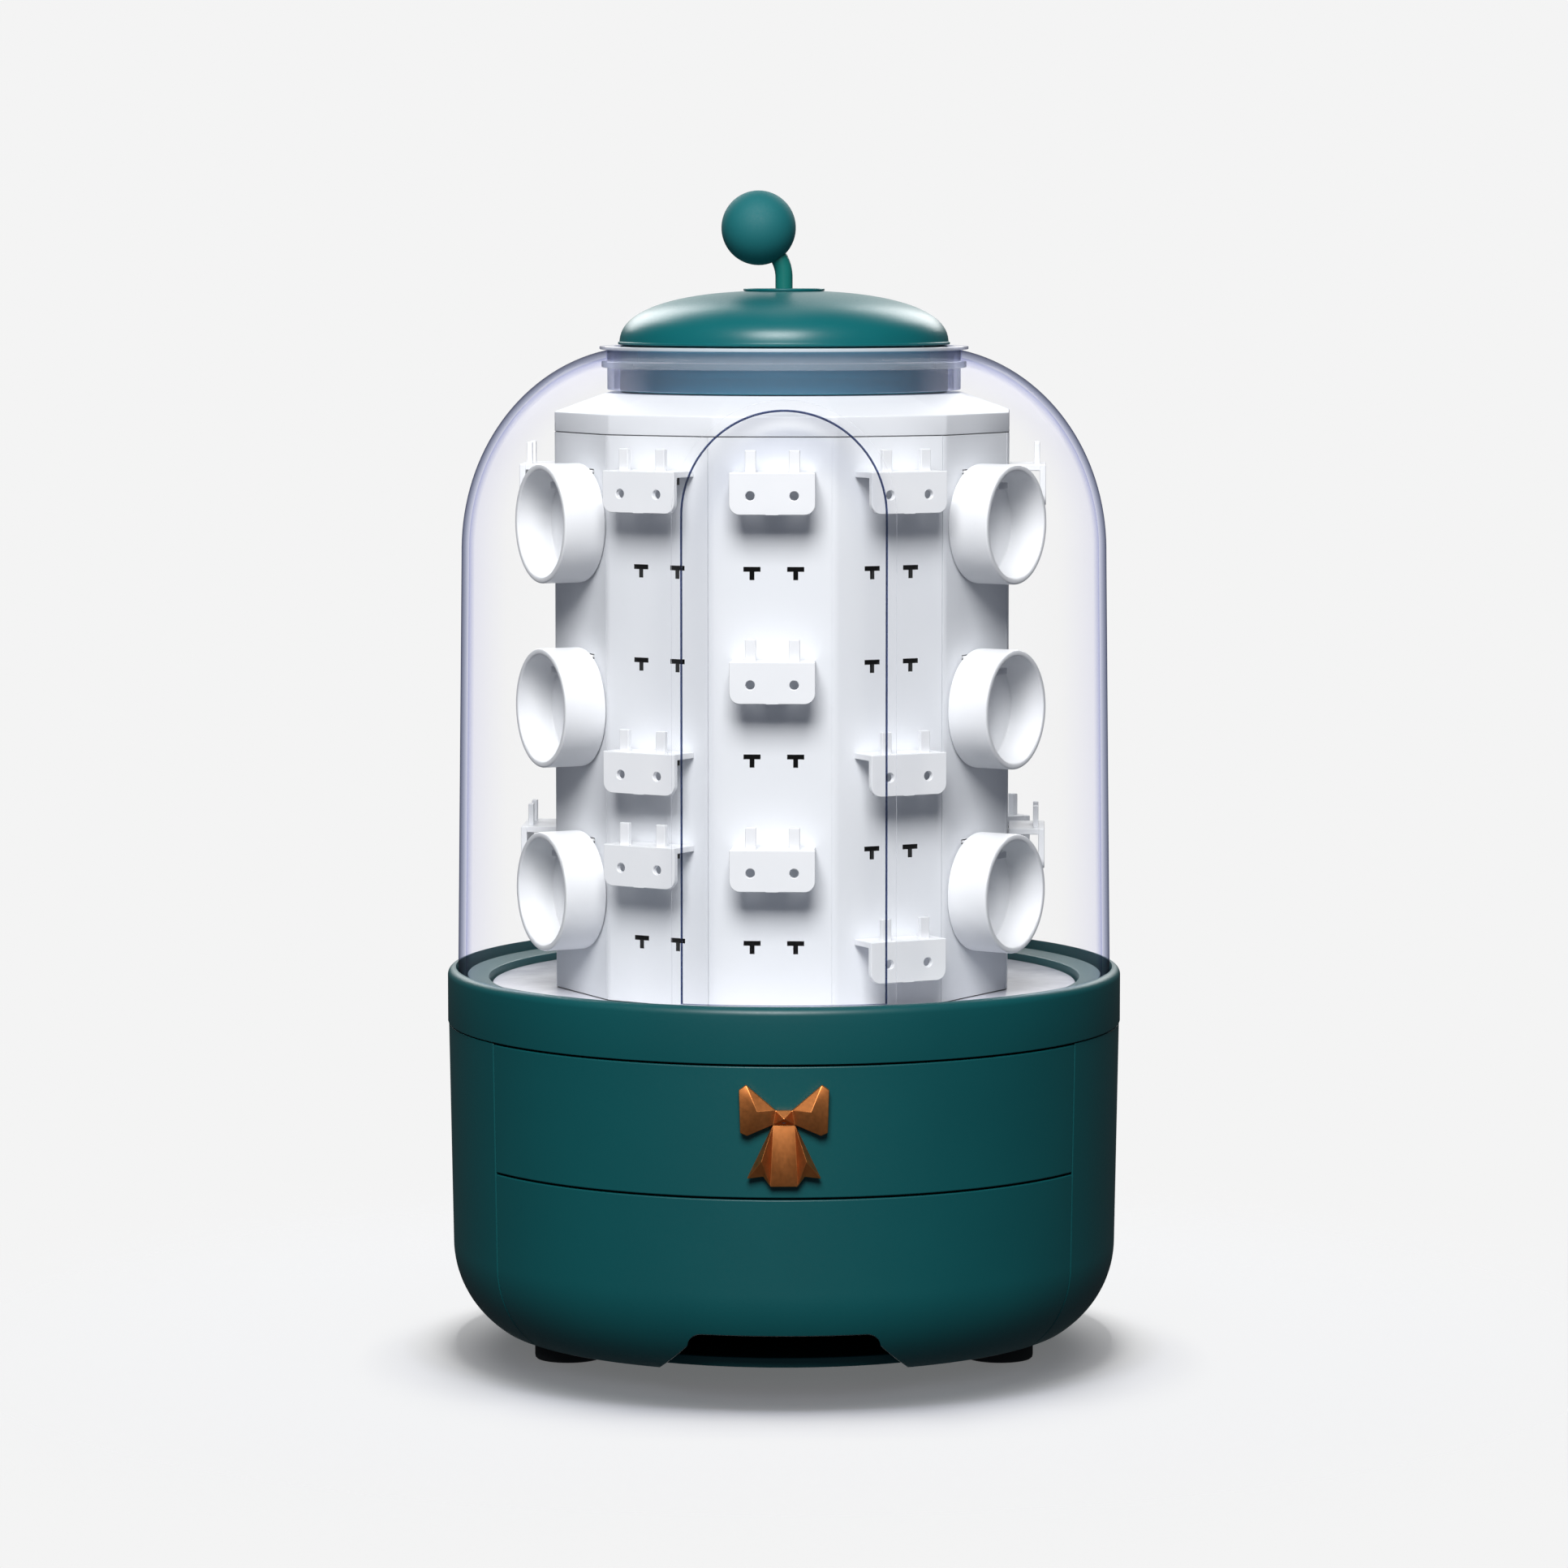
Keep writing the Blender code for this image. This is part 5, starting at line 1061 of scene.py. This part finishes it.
# The same ABS, polished a little more by the hand that lifts it.
lid_abs = moulded("polished_teal_abs", LID_TEAL, LID_TEAL_LIGHT, 0.35, relief=8e-6, drift=0.04)
skirt_abs = moulded("matt_slate_abs", SKIRT_SHADE, SKIRT_COLOUR, 0.45)
outer = lid_curve(0)
brim_top = LID_LOW.z + LID_FLANGE
outer = outer[outer[:, 1] > brim_top + FIT]
brim = [outer[-1], (LID_RADIUS, brim_top), (LID_RADIUS + LID_BEAD, brim_top)]
brim += [(LID_RADIUS + LID_BEAD, LID_LOW.z), (LID_RADIUS - LID_WALL, LID_LOW.z)]
outline = np.concatenate([outer[:-1], rounded(brim, CLEAR_EDGE), lid_curve(LID_WALL)[-2::-1]])
groups = [([turned(outline, RING_STEPS, True)], lid_abs)]
piece("lid", groups, "lid", "lid_cap")
low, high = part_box("lid_skirt")
groups = [(hoop(high.x - SKIRT_WALL, high.x, low.z, high.z), skirt_abs)]
piece("skirt", groups, "lid", "lid_skirt")
finish(dark_abs, "lid_hub")


# Knob.
# A steel stem under teal lacquer, bent to one side, held through a small plate by a nut inside the
# lid. A round ball of teal ABS is pressed on its end.
PLATE_LOW, PLATE_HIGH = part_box("knob_plate")
STEM_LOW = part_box("knob_stem")[0]
BALL_LOW, BALL_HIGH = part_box("knob_ball")
PLATE_BORE = 0.0029
PLATE_DROP = 0.0005
PLATE_EDGE = 0.0003
STEM_RADIUS = 0.00255
STEM_RISE = 0.0025
STEM_BEND = 0.012
STEM_TURN = math.radians(34.5)
STEM_IN_BALL = 0.004
STEM_STEPS = 24
BEND_STEPS = 14
BALL_STEPS = 64
BALL_TEAL = "#066468"
BALL_TEAL_LIGHT = "#086b70"
LACQUER = "#146a64"
LACQUER_LIGHT = "#177069"
# Lacquer on steel shines a little; the ball, rubbed by every hand that turns it, is almost matt.
ball_abs = moulded("rubbed_teal_abs", BALL_TEAL, BALL_TEAL_LIGHT, 0.70, relief=8e-6, drift=0.04)
lacquer = moulded(
    "teal_lacquered_steel", LACQUER, LACQUER_LIGHT, 0.3, grain=0.0008, relief=4e-6, drift=0.01
)
plate_top = PLATE_LOW.z + PLATE_EDGE
outline = [(PLATE_BORE, PLATE_LOW.z), (PLATE_HIGH.x, PLATE_LOW.z - PLATE_DROP)]
outline += [(PLATE_HIGH.x, plate_top), (PLATE_BORE, plate_top)]
groups = [([turned(rounded(outline, EDGE, ring=True), BALL_STEPS, True)], lid_abs)]
piece("plate", groups, "lid", "knob_plate")


def stem():
    """A round rod swept up the axis, round the bend towards -X and straight on into the ball."""
    bend_low = PLATE_HIGH.z + STEM_RISE
    bend = np.linspace(0, STEM_TURN, BEND_STEPS)
    lean = np.concatenate([[0], bend, [STEM_TURN]])
    x = -STEM_BEND * (1 - np.cos(bend))
    z = bend_low + STEM_BEND * np.sin(bend)
    x = np.concatenate([[0], x, [x[-1] - STEM_IN_BALL * math.sin(STEM_TURN)]])
    z = np.concatenate([[STEM_LOW.z], z, [z[-1] + STEM_IN_BALL * math.cos(STEM_TURN)]])
    turn = np.linspace(0, 2 * math.pi, STEM_STEPS, endpoint=False)
    side = STEM_RADIUS * np.cos(turn)
    x = x[:, None] + side * np.cos(lean)[:, None]
    y = np.broadcast_to(STEM_RADIUS * np.sin(turn), x.shape)
    z = z[:, None] + side * np.sin(lean)[:, None]
    tube = np.stack([x, y, z], -1)
    return [patch(tube, True), cap(tube[0]), cap(tube[-1])]


piece("stem", [(stem(), lacquer)], "lid", "knob_stem", FIT)
turn = np.linspace(0, math.pi, BALL_STEPS // 2)
ball_radius = (BALL_HIGH.x - BALL_LOW.x) / 2
centre = np.array([(BALL_HIGH.x + BALL_LOW.x) / 2, 0, (BALL_HIGH.z + BALL_LOW.z) / 2])
outline = ball_radius * np.stack([np.sin(turn), np.cos(turn)], -1)
points, faces = turned(outline, BALL_STEPS)
piece("ball", [([(points + centre, faces)], ball_abs)], "lid", "knob_ball")
finish(zinc_steel, "knob_nut")


# Studio.
# A pale seamless floor that fades into an even backdrop. Softboxes high in front and behind light
# the box, one overhead the floor. Dark cloth all round, open behind, keeps the gloss deep.
BACKDROP = "#f4f4f4"
FILL = "#dfe8ff"
FILL_STRENGTH = 0.12
FLOOR_HALF = 0.6
FLOOR_FADE_START = 0.16
FLOOR_FADE_END = 0.32
# Painted light: how much the paper glows for the camera to lighten the shadow, under the box and
# past its edge, and where
LIFT_UNDER = 0.15
LIFT_PAST = 0.50
LIFT_CENTRE = (0, -0.025, 0)
LIFT_START = 0.080
LIFT_END = 0.112
# Each lamp's place, size and power, and whether the floor is all that it lights or is left out
LAMPS = {
    "overhead": ((0, 0.32, 2.4), (0.36, 0.30), 53.9, "INCLUDE"),
    "key": ((-0.15, -1.75, 1.70), (1.1, 1.1), 68, "EXCLUDE"),
    "rear_left": ((-0.85, 1.95, 1.35), (1.0, 1.1), 20, "EXCLUDE"),
    "rear_right": ((0.85, 1.95, 1.35), (1.0, 1.1), 20, "EXCLUDE"),
}
LAMP_TARGET = (0, 0, 0.15)
# The colour of the cloth's painted glow
CLOTH = "#3a3c3e"
CLOTH_RADIUS = 2.8
CLOTH_LOW = -1.0
CLOTH_HIGH = 3.0
CLOTH_GAP = math.radians(8)
EYE_DISTANCE = 1.700
EYE_PITCH = math.radians(5.3)
EYE_HEIGHT = 0.166
LENS = 131.0
NEAR_CLIP = 0.05


def aimed(name, data, place, target):
    """A new lamp or camera at a place, its -Z axis towards the target."""
    obj = placed(name, data)
    obj.location = place
    away = np.array(place, float) - target
    reach = math.hypot(away[0], away[1])
    obj.rotation_euler = (math.atan2(reach, away[2]), 0, math.atan2(away[0], -away[1]))
    return obj


def screen(name, points, faces, material, unseen):
    """A sheet of the studio that the kinds of ray in unseen pass through."""
    mesh = bpy.data.meshes.new(name)
    mesh.from_pydata(points, [], faces)
    mesh.materials.append(material)
    sheet = placed(name, mesh)
    for ray in unseen:
        setattr(sheet, f"visible_{ray}", False)
    return sheet


world, tree = empty_tree(bpy.data.worlds, "studio")
bpy.context.scene.world = world
path = add(tree, "LightPath")
seen = path.outputs["Is Camera Ray"]
for ray in ("Is Glossy Ray", "Is Transmission Ray"):
    seen = add(tree, "Math", {0: seen, 1: path.outputs[ray]}, operation="MAXIMUM").outputs[0]
fill = add(tree, "Background", {"Color": FILL, "Strength": FILL_STRENGTH})
backdrop = add(tree, "Background", {"Color": BACKDROP})
either = add(tree, "MixShader", {0: seen, 1: fill, 2: backdrop})
add(tree, "OutputWorld", {"Surface": either})

# Seamless paper: flat white under the box, melting into the backdrop so that only the shadow shows.
# Its glow, seen only by the camera, is painted light that also lightens the shadow towards its
# edge.
paper, tree = empty_tree(bpy.data.materials, "seamless_paper")
place = add(tree, "TexCoord").outputs["Object"]
distance = add(tree, "VectorMath", {0: place}, operation="LENGTH").outputs["Value"]
values = {"Value": distance, "From Min": FLOOR_FADE_START, "From Max": FLOOR_FADE_END}
fade = add(tree, "MapRange", values, interpolation_type="SMOOTHSTEP")
distance = add(tree, "VectorMath", {0: place, 1: LIFT_CENTRE}, operation="DISTANCE")
values = {"Value": distance.outputs["Value"], "From Min": LIFT_START, "From Max": LIFT_END}
values |= {"To Min": LIFT_UNDER, "To Max": LIFT_PAST}
lift = add(tree, "MapRange", values, interpolation_type="SMOOTHSTEP")
matt = add(tree, "BsdfDiffuse", {"Color": BACKDROP})
camera_ray = add(tree, "LightPath").outputs["Is Camera Ray"]
glow = add(tree, "Emission", {"Color": BACKDROP, "Strength": camera_ray})
sheet = add(tree, "MixShader", {0: lift, 1: matt, 2: glow})
gone = add(tree, "BsdfTransparent")
melt = add(tree, "MixShader", {0: fade, 1: sheet, 2: gone})
add(tree, "OutputMaterial", {"Surface": melt})
signs = ((-1, -1), (1, -1), (1, 1), (-1, 1))
corners = [(x * FLOOR_HALF, y * FLOOR_HALF, 0) for x, y in signs]
floor = screen("floor", corners, [(0, 1, 2, 3)], paper, ("diffuse", "glossy"))

for name, (place, size, power, floor_link) in LAMPS.items():
    lamp = bpy.data.lights.new(name, "AREA")
    lamp.shape = "RECTANGLE"
    lamp.size, lamp.size_y = size
    lamp.energy = power
    softbox = aimed(name, lamp, place, LAMP_TARGET)
    softbox.visible_camera = False
    lit = bpy.data.collections.new(f"{name}_light")
    lit.objects.link(floor)
    lit.collection_objects[0].light_linking.link_state = floor_link
    softbox.light_linking.receiver_collection = lit

# Dark cotton molton on a frame: it takes the white out of reflections and is itself out of sight.
# It is drawn with a dim grey glow of its own instead of as lit cloth: a painted reflection.
molton, tree = empty_tree(bpy.data.materials, "dim_glowing_cloth")
add(tree, "OutputMaterial", {"Surface": add(tree, "Emission", {"Color": CLOTH})})
reach = np.array([0, CLOTH_RADIUS, CLOTH_RADIUS, 0])[:, None]
height = np.array([CLOTH_LOW, CLOTH_LOW, CLOTH_HIGH, CLOTH_HIGH])[:, None]
around = np.linspace(CLOTH_GAP - math.pi, math.pi - CLOTH_GAP, RING_STEPS)
points, faces = patch(polar(reach, around, height))
unseen = ("camera", "diffuse", "transmission", "shadow", "volume_scatter")
screen("cloth", points.tolist(), faces.tolist(), molton, unseen)

eye = bpy.data.cameras.new("eye")
eye.lens = LENS
eye.clip_start = NEAR_CLIP
reach = EYE_DISTANCE * math.cos(EYE_PITCH)
rise = EYE_DISTANCE * math.sin(EYE_PITCH)
camera = aimed("eye", eye, (0, -reach, EYE_HEIGHT + rise), (0, 0, EYE_HEIGHT))
bpy.context.scene.camera = camera
bpy.context.scene.view_settings.view_transform = "Standard"
